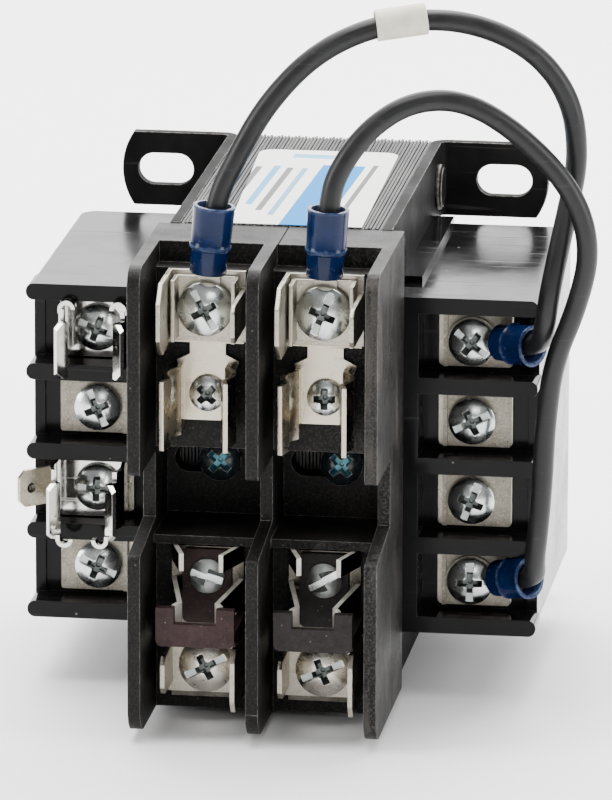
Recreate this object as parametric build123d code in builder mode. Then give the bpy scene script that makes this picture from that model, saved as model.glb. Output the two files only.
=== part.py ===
from build123d import *
from math import acos, asin, cos, degrees, pi, radians, sin, tan
import os

os.makedirs("parts", exist_ok=True)

# Frame: X to the right, Y to the back, Z up, millimetres. The mounting plane is Y = 0, and depths are
# given as distances in front of it, so a point at depth d has Y = -d. Plane.XZ.offset(d) lies there.

# Core: E and I laminations, all their sizes set by the width of an outer leg
leg_width = 13.4
stack_width = 33.6
core_setback = 0.8

# Clamp brackets: folded sheet with slotted ears
bracket_sheet = 1.8
bend_radius = 1.0
ear_height = 13.0
ear_reach = 37.1
ear_end_radius = 11.6
ear_end_cut = 4.0
slot_edge = 7.6
slot_length = 9.6
slot_width = 5.5

# Rivets through the stack and both brackets
rivet_diameter = 4.8
rivet_hole_clearance = 0.2
rivet_head_diameter = 7.9
rivet_head_height = 1.1
rivet_dish_diameter = 5.2
rivet_dish_depth = 0.5

# Coil
former_clearance = 0.25
former_wall = 1.2
flange_thickness = 1.5
flange_reach = 28.6
primary_build = 5.0
insulation_build = 0.5
secondary_build = 4.2
winding_corner = 3.0

# Coil covers and terminal strips beside the core
strip_reach = 42.9
strip_half_height = 28.8
strip_visible_depth = 7.0
strip_floor_depth = 6.8
plug_depth = 3.8
plug_clearance = 0.2
cover_inset = 0.4
cover_wall = 2.0
cover_back_wall = 1.8
cover_coil_clearance = 0.45
cover_corner_radius = 3.0
cover_edge_radius = 0.6
cover_rim_width = 3.5
cover_rim_height = 1.1
cover_rim_setback = 4.8
barrier_pitch = 13.7
barrier_thickness = 2.8
barrier_end_radius = 1.3
inner_wall = 4.4
end_wall = 1.8
end_wall_inset = 0.4
end_wall_clearance = 0.2

# Terminals on the strips
terminal_shift = 0.35
plate_sheet = 0.8
plate_length = 12.5
plate_height = 9.4
plate_corner = 0.8
clamp_sheet = 0.9
clamp_length = 11.3
clamp_height = 9.0
clamp_rib = 0.7
clamp_rib_rise = 0.5
clamp_shift = 0.4

# Screws
screw_fit = 0.1
strip_screw_head = 7.9
strip_screw_head_height = 2.4
strip_screw_shank = 4.1
strip_screw_length = 6.4
line_screw_head = 9.1
line_screw_head_height = 2.6
line_screw_shank = 4.8
line_screw_length = 9.5
clip_screw_head = 6.0
clip_screw_head_height = 1.9
clip_screw_shank = 3.4
clip_screw_length = 7.0
block_screw_head = 7.2
block_screw_head_height = 2.2
block_screw_shank = 3.8
block_screw_length = 12.0
drive_slot_width = 1.15
drive_slot_depth = 0.8
cross_width = 1.3
cross_length = 3.7
cross_depth = 1.3
dome_share = 0.55

# Fuse clips on the left strip, for a 38 mm cartridge
strip_clip_sheet = 0.7
upper_clip_shift = -0.5
lower_clip_shift = 0.75
strip_clip_base = 5.3
strip_clip_straight = 3.2
strip_clip_bulge = 5.5
strip_clip_bulge_depth = 5.6
strip_clip_pinch = 3.75
strip_clip_pinch_depth = 10.2
strip_clip_tip = 5.3
strip_clip_tip_depth = 12.2
strip_clip_edge_gap = 0.2
strip_clip_top = 4.6
strip_clip_back_depth = 8.6
strip_clip_lip_top = 2.9
strip_clip_lip_drop = 6.6
strip_clip_lip_root = 0.6
strip_clip_lip_chamfer = 1.2
strip_clip_hook_bore = 1.5
strip_clip_hook_width = 2.0
upper_hook_inner = 5.1
upper_hook_depth = 7.4

# Push-on tab under the lower clip
tab_width = 6.35
tab_sheet = 0.8
tab_length = 8.0
tab_angle = 45.0
tab_root_gap = 0.3
tab_chamfer = 1.2
tab_hole = 1.7
tab_hole_inset = 2.4

# Fuse block
pole_pitch = 19.5
block_barrier = 2.1
block_top = 40.0
block_bottom = -38.6
block_depth = 33.5
block_floor = 4.0
pedestal_depth = 16.0
top_wall = 3.6
top_wall_depth = 12.5
upper_pedestal_bottom = 6.0
lower_pedestal_top = -8.3
shelf_thickness = 1.5
shelf_depth = 19.0
window_top = 5.2
window_bottom = -5.9
window_depth = 16.6
window_slant = 2.4
barrier_corner = 2.2
barrier_foot = 1.4
block_slot_length = 10.8
block_slot_width = 4.8
block_slot_shift = -2.0
block_slot_level = 1.0
block_screw_shifts = {"left": 0.3, "right": 1.15}

# Spring clips and terminals of the fuse block
clip_sheet = 0.8
line_level = 30.5
line_plate_width = 12.0
line_plate_top = 36.0
line_plate_bottom = 24.0
line_neck_width = 6.0
line_wing_width = 10.4
line_wing_level = 21.0
line_wing_drop = 2.2
line_clip_shift = -0.45
line_clip_base_width = 8.8
line_clip_bottom = 10.9
line_clip_level = 15.6
prong_low = 8.8
prong_high = 20.4
prong_straight = 3.0
prong_bulge = 5.25
prong_bulge_depth = 7.4
prong_pinch = 4.1
prong_pinch_depth = 10.6
prong_tip = 4.9
prong_tip_depth = 13.8
load_level = -30.5
load_plate_top = -10.6
load_plate_bottom = -36.4
load_plate_width = 12.0
load_clip_level = -15.5
upper_arm_low = -13.0
upper_arm_high = -10.0
upper_arm_root = 5.2
upper_arm_tip = 2.9
upper_arm_depth = 8.0
lower_arm_low = -20.9
lower_arm_high = -16.0
lower_arm_front = -17.7
lower_arm_root = 5.2
lower_arm_pinch = 2.7
lower_arm_depth = 11.2
lower_arm_lip = 3.6
lower_arm_lip_depth = 1.5

# Tab pieces and saddles under the terminal screws
tabs_width = 13.0
tabs_half_height = 6.0
wall_depth = 13.4
wall_chamfer = 3.0
side_tab_height = 6.35
side_tab_depth = 13.0
side_tab_chamfer = 1.2
load_tab_depth = 9.0
saddle_width = 10.7
saddle_half_height = 5.2
saddle_rise = 4.2
saddle_sheet = 0.7

# Rejection plates
rejection_width = 13.0
rejection_top = -17.4
rejection_bottom = -23.9
rejection_thickness = 1.6
rejection_front = 31.2
rejection_notch_width = 7.0
rejection_notch_depth = 2.7
rejection_corner = 1.1
rejection_leg_width = 1.5
rejection_leg_height = 2.4

# Crimp lugs and leads
lead_diameter = 3.5
lug_sheet = 0.8
lug_ring_diameter = 8.3
lug_neck_width = 3.8
lug_barrel_diameter = 4.6
lug_sleeve_fit = 0.1
lug_sleeve_small = 6.2
lug_sleeve_large = 7.0
lug_mouth_bore = 5.4
lug_barrel_share = 0.5
lug_step_share = 0.45
lug_barrel_rise = 1.8
lug_heel_width = 2.8
lug_heel_rise = 1.2
line_lug_start = 6.4
line_lug_length = 11.4
line_lug_lean_left = 5.5
line_lug_lean_right = 3.0
strip_lug_start = 4.8
strip_lug_length = 7.5
strip_lug_bend = 36.0
strip_lug_leans = {"upper": 6.0, "lower": 13.0}
line_lead_straight = 6.2
strip_lead_straight = 5.2
marker_length = 8.4
marker_bore = 4.4
marker_diameter = 5.2
marker_share = 0.378
lead_arc_share = 0.45

# Derived from the sizes above
core_height = 6 * leg_width
core_depth = 5 * leg_width
core_back = core_setback
core_front = core_back + core_depth
core_middle = core_back + core_depth / 2
coil_length = 3 * leg_width - 2 * former_clearance
bracket_half = core_height / 2
side_face = stack_width / 2 + bracket_sheet
slot_level = bracket_half - ear_height / 2
slot_offset = ear_reach - slot_edge
rivet_level = core_height / 2 - leg_width / 2
rivet_depths = (core_back + leg_width / 2, core_front - leg_width / 2)

strip_back = core_front - strip_visible_depth
strip_floor = core_front - strip_floor_depth
plate_front = strip_floor + plate_sheet
clamp_front = plate_front + clamp_sheet
cover_reach = strip_reach - cover_inset
cover_half_height = strip_half_height - cover_inset
cover_back = core_middle - coil_length / 2 - cover_coil_clearance - cover_back_wall
flange_half_height = min(2 * leg_width, cover_half_height - cover_wall) - former_clearance
cell_middle = (side_face + inner_wall + strip_reach - end_wall_inset - end_wall) / 2
terminal_offset = cell_middle - terminal_shift
clamp_offset = cell_middle + clamp_shift
upper_clip_offset = -cell_middle - upper_clip_shift
lower_clip_offset = -cell_middle - lower_clip_shift
tab_root = lower_clip_offset - strip_clip_base - strip_clip_sheet - tab_root_gap
cell_levels = [(1.5 - n) * barrier_pitch for n in range(4)]
barrier_levels = [(2 - n) * barrier_pitch for n in range(5)]

poles = {"left": -pole_pitch / 2, "right": pole_pitch / 2}
block_width = 2 * pole_pitch + block_barrier
block_floor_face = core_front + block_floor
pedestal_face = core_front + pedestal_depth
clip_face = pedestal_face + clip_sheet
tabs_face = clip_face + tab_sheet
saddle_face = tabs_face + saddle_sheet
block_front = core_front + block_depth


def save(piece, name):
    piece.part.label = name
    export_step(piece.part, f"parts/{name}.step")


def pan_screw(head_diameter, head_height, shank_diameter, shank_length, slotted=True, crossed=True):
    """Head underside at the origin, head towards -Y."""
    dome_height = head_height * dome_share
    dome_radius = (head_diameter**2 / 4 + dome_height**2) / (2 * dome_height)
    dome_arc = degrees(asin(head_diameter / 2 / dome_radius))
    with BuildPart() as screw:
        with BuildSketch():
            with BuildLine():
                dome = JernArc((0, -head_height), (1, 0), dome_radius, dome_arc)
                Polyline(
                    dome @ 1,
                    (head_diameter / 2, 0),
                    (shank_diameter / 2, 0),
                    (shank_diameter / 2, shank_length),
                    (0, shank_length),
                    (0, -head_height),
                )
            make_face()
        revolve(axis=Axis.Y)
        with Locations((0, -head_height, 0)):
            if slotted:
                Box(head_diameter + 1, 2 * drive_slot_depth, drive_slot_width, mode=Mode.SUBTRACT)
            if crossed:
                Box(cross_length, 2 * cross_depth, cross_width, mode=Mode.SUBTRACT)
                Box(cross_width, 2 * cross_depth, cross_length, mode=Mode.SUBTRACT)
    return screw.part


def screw_group(screw, seats):
    """Seats are (x, depth, z, turn)."""
    with BuildPart() as group:
        for x, depth, z, turn in seats:
            with Locations(Location((x, -depth, z), (0, turn, 0))):
                add(screw)
    return group


# Core
with BuildPart() as core_stack:
    with BuildSketch(Plane.YZ):
        with Locations((-core_middle, 0)):
            Rectangle(core_depth, core_height)
        with Locations((-core_middle, 1.5 * leg_width), (-core_middle, -1.5 * leg_width)):
            Rectangle(3 * leg_width, leg_width, mode=Mode.SUBTRACT)
        with Locations(*[(-depth, sign * rivet_level) for depth in rivet_depths for sign in (1, -1)]):
            Circle((rivet_diameter + rivet_hole_clearance) / 2, mode=Mode.SUBTRACT)
    extrude(amount=stack_width / 2, both=True)
    with BuildSketch(Plane.XZ.offset(core_front)):
        with Locations(*[(x + block_screw_shifts[side], block_slot_level) for side, x in poles.items()]):
            Circle(block_screw_shank / 2 + screw_fit)
    extrude(amount=-block_screw_length, mode=Mode.SUBTRACT)
save(core_stack, "core_stack")

with BuildPart() as bracket_right:
    with BuildSketch() as fold:
        with Locations((stack_width / 2, 0)):
            Rectangle(bracket_sheet, core_front, align=(Align.MIN, Align.MAX))
            Rectangle(ear_reach - stack_width / 2, bracket_sheet, align=(Align.MIN, Align.MAX))
        fillet(fold.vertices().sort_by_distance((side_face, -bracket_sheet))[0], bend_radius)
        fillet(fold.vertices().sort_by_distance((stack_width / 2, 0))[0], bend_radius + bracket_sheet)
    extrude(amount=bracket_half, both=True)
    with BuildSketch(Plane.XZ):
        with Locations((stack_width / 2, 0)):
            Rectangle(ear_reach, 2 * (bracket_half - ear_height), align=(Align.MIN, Align.CENTER))
    extrude(amount=bracket_sheet + bend_radius, mode=Mode.SUBTRACT)
    with BuildSketch(Plane.XZ):
        with Locations((ear_reach, slot_level), (ear_reach, -slot_level)):
            Rectangle(ear_end_cut, ear_height, align=(Align.MAX, Align.CENTER))
        with Locations(*[(ear_reach - ear_end_radius, sign * slot_level) for sign in (1, -1)]):
            Circle(ear_end_radius, mode=Mode.SUBTRACT)
        with Locations((slot_offset, slot_level), (slot_offset, -slot_level)):
            SlotOverall(slot_length, slot_width)
    extrude(amount=bracket_sheet, mode=Mode.SUBTRACT)
    with BuildSketch(Plane.YZ.offset(stack_width / 2)):
        with Locations((-core_middle, 0)):
            Rectangle(3 * leg_width, 4 * leg_width)
        with Locations(*[(-depth, sign * rivet_level) for depth in rivet_depths for sign in (1, -1)]):
            Circle((rivet_diameter + rivet_hole_clearance) / 2)
    extrude(amount=bracket_sheet, mode=Mode.SUBTRACT)
save(bracket_right, "bracket_right")

with BuildPart() as bracket_left:
    mirror(bracket_right.part, about=Plane.YZ)
save(bracket_left, "bracket_left")

with BuildPart() as rivet:
    with BuildSketch():
        with BuildLine():
            head_top = side_face + rivet_head_height
            Polyline(
                (0, 0),
                (0, rivet_diameter / 2),
                (side_face, rivet_diameter / 2),
                (side_face, rivet_head_diameter / 2),
                (side_face + rivet_head_height / 2, rivet_head_diameter / 2),
                (head_top, rivet_head_diameter / 2 - rivet_head_height / 2),
                (head_top, rivet_dish_diameter / 2),
                (head_top - rivet_dish_depth, 0),
                close=True,
            )
        make_face()
    revolve(axis=Axis.X)
    mirror(about=Plane.YZ)

with BuildPart() as core_rivets:
    with Locations(*[(0, -depth, sign * rivet_level) for depth in rivet_depths for sign in (1, -1)]):
        add(rivet.part)
save(core_rivets, "core_rivets")

# Coil round the centre leg
coil_back = core_middle - coil_length / 2
tube_half_width = stack_width / 2 + former_clearance + former_wall
tube_half_height = leg_width + former_clearance + former_wall
with BuildPart() as coil_former:
    with BuildSketch(Plane.XZ.offset(coil_back)):
        Rectangle(2 * tube_half_width, 2 * tube_half_height)
    extrude(amount=coil_length)
    flange_backs = (coil_back, coil_back + coil_length - flange_thickness)
    with BuildSketch(*[Plane.XZ.offset(depth) for depth in flange_backs]):
        Rectangle(2 * flange_reach, 2 * flange_half_height)
    extrude(amount=flange_thickness)
    with BuildSketch(Plane.XZ.offset(coil_back)):
        Rectangle(stack_width + 2 * former_clearance, 2 * (leg_width + former_clearance))
    extrude(amount=coil_length, mode=Mode.SUBTRACT)
save(coil_former, "coil_former")

layer_start = 0
for name, build in (
    ("primary_winding", primary_build),
    ("winding_insulation", insulation_build),
    ("secondary_winding", secondary_build),
):
    layer_end = layer_start + build
    with BuildPart() as layer:
        with BuildSketch(Plane.XZ.offset(coil_back + flange_thickness)):
            RectangleRounded(
                2 * (tube_half_width + layer_end), 2 * (tube_half_height + layer_end), winding_corner
            )
            if layer_start:
                RectangleRounded(
                    2 * (tube_half_width + layer_start),
                    2 * (tube_half_height + layer_start),
                    winding_corner,
                    mode=Mode.SUBTRACT,
                )
            else:
                Rectangle(2 * tube_half_width, 2 * tube_half_height, mode=Mode.SUBTRACT)
        extrude(amount=coil_length - 2 * flange_thickness)
    save(layer, name)
    layer_start = layer_end

# Coil covers
with BuildPart() as coil_cover_right:
    with BuildSketch(Plane.XZ.offset(cover_back)):
        with Locations((side_face, 0)):
            Rectangle(cover_reach - side_face, 2 * cover_half_height, align=(Align.MIN, Align.CENTER))
    extrude(amount=strip_back - cover_back)
    outer = coil_cover_right.faces().sort_by(Axis.X)[-1]
    fillet(outer.edges().sort_by(Axis.Y)[-1], cover_corner_radius)
    outer_edges = coil_cover_right.edges().filter_by(Axis.Y).sort_by(Axis.X)[-2:]
    fillet(outer_edges, cover_edge_radius)
    with BuildSketch(Plane.XZ.offset(cover_back + cover_back_wall)):
        with Locations((side_face, 0)):
            Rectangle(
                cover_reach - cover_wall - side_face,
                2 * (cover_half_height - cover_wall),
                align=(Align.MIN, Align.CENTER),
            )
    extrude(amount=strip_back - cover_back, mode=Mode.SUBTRACT)
    rim_middle = cover_half_height + cover_rim_height / 2
    with BuildSketch(Plane.XZ.offset(cover_back)):
        with Locations((side_face, rim_middle), (side_face, -rim_middle)):
            Rectangle(cover_rim_width, cover_rim_height, align=(Align.MIN, Align.CENTER))
    extrude(amount=strip_back - cover_rim_setback - cover_back)
save(coil_cover_right, "coil_cover_right")

with BuildPart() as coil_cover_left:
    mirror(coil_cover_right.part, about=Plane.YZ)
save(coil_cover_left, "coil_cover_left")

# Terminal strips
plug_reach = cover_reach - cover_wall - plug_clearance
with BuildPart() as terminal_strip_right:
    with BuildSketch(Plane.XZ.offset(strip_back)):
        with Locations(*[(side_face, level) for level in barrier_levels]):
            Rectangle(strip_reach - side_face, barrier_thickness, align=(Align.MIN, Align.CENTER))
    extrude(amount=core_front - strip_back)
    tips = terminal_strip_right.edges().filter_by(Axis.Y).group_by(Axis.X)[-1]
    fillet(tips, barrier_end_radius)
    with BuildSketch(Plane.XZ.offset(strip_back)):
        with Locations((side_face, 0)):
            Rectangle(inner_wall, 2 * strip_half_height, align=(Align.MIN, Align.CENTER))
    extrude(amount=core_front - strip_back)
    with BuildSketch(Plane.XZ.offset(strip_back)):
        with Locations((strip_reach - end_wall_inset, 0)):
            Rectangle(end_wall, 2 * barrier_levels[0], align=(Align.MAX, Align.CENTER))
    extrude(amount=plate_front - end_wall_clearance - strip_back)
    with BuildSketch(Plane.XZ.offset(strip_back)):
        with Locations((side_face, 0)):
            Rectangle(
                strip_reach - end_wall_inset - side_face,
                2 * barrier_levels[0],
                align=(Align.MIN, Align.CENTER),
            )
    extrude(amount=strip_floor - strip_back)
    with BuildSketch(Plane.XZ.offset(strip_back - plug_depth)):
        with Locations((side_face + plug_clearance, 0)):
            Rectangle(
                plug_reach - side_face - plug_clearance,
                2 * (cover_half_height - cover_wall - plug_clearance),
                align=(Align.MIN, Align.CENTER),
            )
    extrude(amount=plug_depth)
    with BuildSketch(Plane.XZ.offset(strip_back - plug_depth)):
        with Locations(*[(terminal_offset, level) for level in cell_levels]):
            Circle(strip_screw_shank / 2 + screw_fit)
    extrude(amount=plug_depth + strip_visible_depth, mode=Mode.SUBTRACT)
save(terminal_strip_right, "terminal_strip_right")

with BuildPart() as terminal_strip_left:
    mirror(terminal_strip_right.part, about=Plane.YZ)
save(terminal_strip_left, "terminal_strip_left")

# Terminal plates, wire clamps and screws of the strips
for side, sign in (("left", -1), ("right", 1)):
    with BuildPart() as terminal_plates:
        with BuildSketch(Plane.XZ.offset(strip_floor)):
            with Locations(*[(sign * cell_middle, level) for level in cell_levels]):
                RectangleRounded(plate_length, plate_height, plate_corner)
            with Locations(*[(sign * terminal_offset, level) for level in cell_levels]):
                Circle(strip_screw_shank / 2 + screw_fit, mode=Mode.SUBTRACT)
        extrude(amount=plate_sheet)
    save(terminal_plates, f"terminal_plates_{side}")

clamped = {"left": [cell_levels[1], cell_levels[3]], "right": cell_levels}
for side, sign in (("left", -1), ("right", 1)):
    rib_shift = (clamp_length - clamp_rib) / 2
    ribs = [clamp_offset - rib_shift, clamp_offset + rib_shift]
    with BuildPart() as wire_clamps:
        with BuildSketch(Plane.XZ.offset(plate_front)):
            with Locations(*[(sign * clamp_offset, level) for level in clamped[side]]):
                RectangleRounded(clamp_length, clamp_height, plate_corner / 2)
            with Locations(*[(sign * terminal_offset, level) for level in clamped[side]]):
                Circle(strip_screw_shank / 2 + screw_fit, mode=Mode.SUBTRACT)
        extrude(amount=clamp_sheet)
        with BuildSketch(Plane.XZ.offset(clamp_front)):
            with Locations(*[(sign * ribs[0], level) for level in clamped[side]]):
                Rectangle(clamp_rib, clamp_height)
        extrude(amount=clamp_rib_rise)
    save(wire_clamps, f"wire_clamps_{side}")

strip_screw = pan_screw(strip_screw_head, strip_screw_head_height, strip_screw_shank, strip_screw_length)
lug_seat = clamp_front + lug_sheet
clip_seats = (plate_front + strip_clip_sheet, plate_front + tab_sheet + strip_clip_sheet)
seats_left = (clip_seats[0], clamp_front, clip_seats[1], clamp_front)
seats_right = (lug_seat, clamp_front, clamp_front, lug_seat)
turns_left = (20, 65, 2, 24)
turns_right = (37, -26, -68, 90)
for side, sign, seats, turns in (
    ("left", -1, seats_left, turns_left),
    ("right", 1, seats_right, turns_right),
):
    group = screw_group(
        strip_screw,
        [(sign * terminal_offset, seat, z, turn) for seat, z, turn in zip(seats, cell_levels, turns)],
    )
    save(group, f"terminal_screws_{side}")

# Fuse clips of the left strip, each bent from one sheet with its screw in the base
def strip_clip(base_depth, level, offset_x, hook_inner, hook_depth, hook_way):
    low = level - barrier_pitch / 2 + barrier_thickness / 2 + strip_clip_edge_gap
    top = level + strip_clip_top
    lip_low = level - strip_clip_lip_drop
    lip_top = level + strip_clip_lip_top
    hook_level = top if hook_way > 0 else lip_low
    hook_middle = hook_inner - strip_clip_hook_bore / 2
    with BuildPart() as clip:
        with BuildSketch(Plane.XY.offset(lip_low)):
            with BuildLine():
                spring = [
                    (strip_clip_base, -base_depth),
                    (strip_clip_base, -base_depth - strip_clip_straight),
                    (strip_clip_pinch, -base_depth - strip_clip_pinch_depth),
                    (strip_clip_tip, -base_depth - strip_clip_tip_depth),
                ]
                Line(spring[0], spring[1])
                ThreePointArc(
                    spring[1], (strip_clip_bulge, -base_depth - strip_clip_bulge_depth), spring[2]
                )
                Line(spring[2], spring[3])
                offset(amount=strip_clip_sheet, side=Side.LEFT)
            make_face()
        extrude(amount=top - lip_low)
        with BuildSketch(Plane.YZ):
            with Locations((-base_depth, lip_low)):
                Rectangle(
                    strip_clip_pinch_depth - strip_clip_lip_root, low - lip_low, align=(Align.MAX, Align.MIN)
                )
            with Locations((-base_depth - strip_clip_back_depth, lip_top)):
                Rectangle(strip_clip_tip_depth, top - lip_top, align=(Align.MAX, Align.MIN))
            lip_end = -base_depth - strip_clip_tip_depth - strip_clip_sheet
            for corner, way in ((lip_low, 1), (lip_top, -1)):
                with BuildLine():
                    Polyline(
                        (lip_end, corner),
                        (lip_end + strip_clip_sheet + strip_clip_lip_chamfer, corner),
                        (lip_end, corner + way * (strip_clip_sheet + strip_clip_lip_chamfer)),
                        close=True,
                    )
                make_face()
        extrude(amount=2 * strip_clip_bulge, both=True, mode=Mode.SUBTRACT)
        with BuildSketch(Plane.XZ.offset(base_depth + hook_depth)):
            with Locations((hook_middle, hook_level)):
                Circle(strip_clip_hook_bore / 2 + strip_clip_sheet)
                Circle(strip_clip_hook_bore / 2, mode=Mode.SUBTRACT)
                Rectangle(
                    2 * strip_clip_hook_bore + 2 * strip_clip_sheet,
                    strip_clip_hook_bore,
                    align=(Align.CENTER, Align.MAX if hook_way > 0 else Align.MIN),
                    mode=Mode.SUBTRACT,
                )
            with Locations((hook_inner, hook_level)):
                Rectangle(
                    strip_clip_sheet,
                    strip_clip_sheet,
                    align=(Align.MIN, Align.MAX if hook_way > 0 else Align.MIN),
                )
        extrude(amount=strip_clip_hook_width / 2, both=True)
        mirror(about=Plane.YZ)
        with BuildSketch(Plane.XZ.offset(base_depth)):
            with Locations((0, low)):
                Rectangle(
                    2 * (strip_clip_base + strip_clip_sheet), top - low, align=(Align.CENTER, Align.MIN)
                )
            with Locations((-terminal_offset - offset_x, level)):
                Circle(strip_screw_shank / 2 + screw_fit, mode=Mode.SUBTRACT)
        extrude(amount=strip_clip_sheet)
    with BuildPart() as placed:
        with Locations((offset_x, 0, 0)):
            add(clip.part)
    return placed


upper_clip = strip_clip(
    plate_front, cell_levels[0], upper_clip_offset, upper_hook_inner, upper_hook_depth, 1
)
save(upper_clip, "strip_clip_upper")
lower_clip = strip_clip(
    plate_front + tab_sheet, cell_levels[2], lower_clip_offset, strip_clip_pinch, strip_clip_pinch_depth, -1
)
save(lower_clip, "strip_clip_lower")

with BuildPart() as push_on_tab:
    tab_run = (tab_length * cos(radians(tab_angle)), tab_length * sin(radians(tab_angle)))
    with BuildSketch(Plane.XY.offset(cell_levels[2])):
        with BuildLine():
            Polyline(
                (-terminal_offset + strip_screw_head / 2, -plate_front),
                (tab_root, -plate_front),
                (tab_root - tab_run[0], -plate_front - tab_run[1]),
            )
            offset(amount=tab_sheet, side=Side.LEFT)
        make_face()
    extrude(amount=tab_width / 2, both=True)
    tab_plane = Plane(
        origin=(tab_root - tab_run[0], -plate_front - tab_run[1], cell_levels[2]),
        x_dir=(-cos(radians(tab_angle)), -sin(radians(tab_angle)), 0),
        z_dir=(sin(radians(tab_angle)), -cos(radians(tab_angle)), 0),
    )
    with BuildSketch(tab_plane):
        with Locations((-tab_hole_inset, 0)):
            Circle(tab_hole / 2)
        for sign in (1, -1):
            with BuildLine():
                Polyline(
                    (0, sign * tab_width / 2),
                    (-tab_chamfer, sign * tab_width / 2),
                    (0, sign * (tab_width / 2 - tab_chamfer)),
                    close=True,
                )
            make_face()
    extrude(amount=tab_width, both=True, mode=Mode.SUBTRACT)
    with BuildSketch(Plane.XZ.offset(plate_front)):
        with Locations((-terminal_offset, cell_levels[2])):
            Circle(strip_screw_shank / 2 + screw_fit)
    extrude(amount=tab_sheet, mode=Mode.SUBTRACT)
save(push_on_tab, "push_on_tab")

# Fuse block
with BuildPart() as fuse_block:
    with BuildSketch(Plane.XZ.offset(core_front)):
        with Locations((0, block_bottom)):
            Rectangle(block_width, block_top - block_bottom, align=(Align.CENTER, Align.MIN))
        with Locations(*[(x + block_slot_shift, block_slot_level) for x in poles.values()]):
            SlotOverall(block_slot_length, block_slot_width, mode=Mode.SUBTRACT)
    extrude(amount=block_floor)
    with BuildSketch(Plane.XZ.offset(core_front)):
        with Locations((0, block_top - top_wall)):
            Rectangle(
                block_width, block_top - top_wall - upper_pedestal_bottom, align=(Align.CENTER, Align.MAX)
            )
        with Locations((0, block_bottom)):
            Rectangle(block_width, lower_pedestal_top - block_bottom, align=(Align.CENTER, Align.MIN))
    extrude(amount=pedestal_depth)
    with BuildSketch(Plane.XZ.offset(core_front)):
        with Locations((0, block_top)):
            Rectangle(block_width, top_wall, align=(Align.CENTER, Align.MAX))
    extrude(amount=top_wall_depth)
    with BuildSketch(Plane.XZ.offset(core_front)):
        with Locations((0, lower_pedestal_top)):
            Rectangle(block_width, shelf_thickness, align=(Align.CENTER, Align.MAX))
    extrude(amount=shelf_depth)
    for x in (-pole_pitch, 0, pole_pitch):
        with BuildSketch(Plane.YZ.offset(x)) as barrier:
            with BuildLine():
                Polyline(
                    (-core_front, block_bottom),
                    (-core_front, block_top),
                    (-block_front, block_top),
                    (-block_front, window_top),
                    (-core_front - window_depth, window_top),
                    (-core_front - window_depth, window_bottom),
                    (-block_front, window_bottom - window_slant),
                    (-block_front, block_bottom + barrier_foot),
                    (-block_front + barrier_foot, block_bottom),
                    close=True,
                )
            make_face()
            rounded = barrier.vertices().group_by(Axis.X)[0].sort_by(Axis.Y)[1:]
            fillet(rounded, barrier_corner / 2)
        extrude(amount=block_barrier / 2, both=True)
    with BuildSketch(Plane.XZ.offset(core_front)):
        for x in poles.values():
            with Locations((x, line_level), (x, load_level)):
                Circle(line_screw_shank / 2 + screw_fit)
            with Locations((x, line_clip_level), (x, load_clip_level)):
                Circle(clip_screw_shank / 2 + screw_fit)
    extrude(amount=pedestal_depth, mode=Mode.SUBTRACT)
save(fuse_block, "fuse_block")

block_screw = pan_screw(
    block_screw_head, block_screw_head_height, block_screw_shank, block_screw_length, slotted=False
)
block_turns = {"left": 40, "right": 48}
block_screws = screw_group(
    block_screw,
    [
        (x + block_screw_shifts[side], block_floor_face, block_slot_level, block_turns[side])
        for side, x in poles.items()
    ],
)
save(block_screws, "block_screws")

# Upper clip strip of a pole, drawn at X = 0, with its grip a little to one side
grip_top = line_wing_level - line_wing_drop
with BuildPart() as line_grip:
    with BuildSketch(Plane.XZ.offset(pedestal_face)):
        with Locations((0, line_clip_bottom)):
            Rectangle(
                line_clip_base_width / 2, grip_top - line_clip_bottom, align=(Align.MIN, Align.MIN)
            )
    extrude(amount=clip_sheet)
    with BuildSketch(Plane.XY.offset(prong_low)):
        with BuildLine():
            prong_root = line_clip_base_width / 2 - clip_sheet
            Line((prong_root, -pedestal_face), (prong_root, -pedestal_face - prong_straight))
            ThreePointArc(
                (prong_root, -pedestal_face - prong_straight),
                (prong_bulge, -pedestal_face - prong_bulge_depth),
                (prong_pinch, -pedestal_face - prong_pinch_depth),
            )
            Line(
                (prong_pinch, -pedestal_face - prong_pinch_depth),
                (prong_tip, -pedestal_face - prong_tip_depth),
            )
            offset(amount=clip_sheet, side=Side.LEFT)
        make_face()
    extrude(amount=prong_high - prong_low)
    mirror(about=Plane.YZ)

with BuildPart() as line_clip:
    with BuildSketch(Plane.XZ.offset(pedestal_face)):
        with BuildLine():
            Polyline(
                (0, line_plate_top),
                (line_plate_width / 2, line_plate_top),
                (line_plate_width / 2, line_plate_bottom),
                (line_neck_width / 2, line_plate_bottom),
                (line_neck_width / 2, line_wing_level + line_wing_drop / 2),
                (line_wing_width / 2, line_wing_level),
                (line_clip_base_width / 2, grip_top),
                (0, grip_top),
                close=True,
            )
        make_face()
    extrude(amount=clip_sheet)
    mirror(about=Plane.YZ)
    with Locations((line_clip_shift, 0, 0)):
        add(line_grip.part)
    with BuildSketch(Plane.XZ.offset(pedestal_face)):
        with Locations((0, line_level)):
            Circle(line_screw_shank / 2 + screw_fit)
        with Locations((0, line_clip_level)):
            Circle(clip_screw_shank / 2 + screw_fit)
    extrude(amount=clip_sheet, mode=Mode.SUBTRACT)

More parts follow.
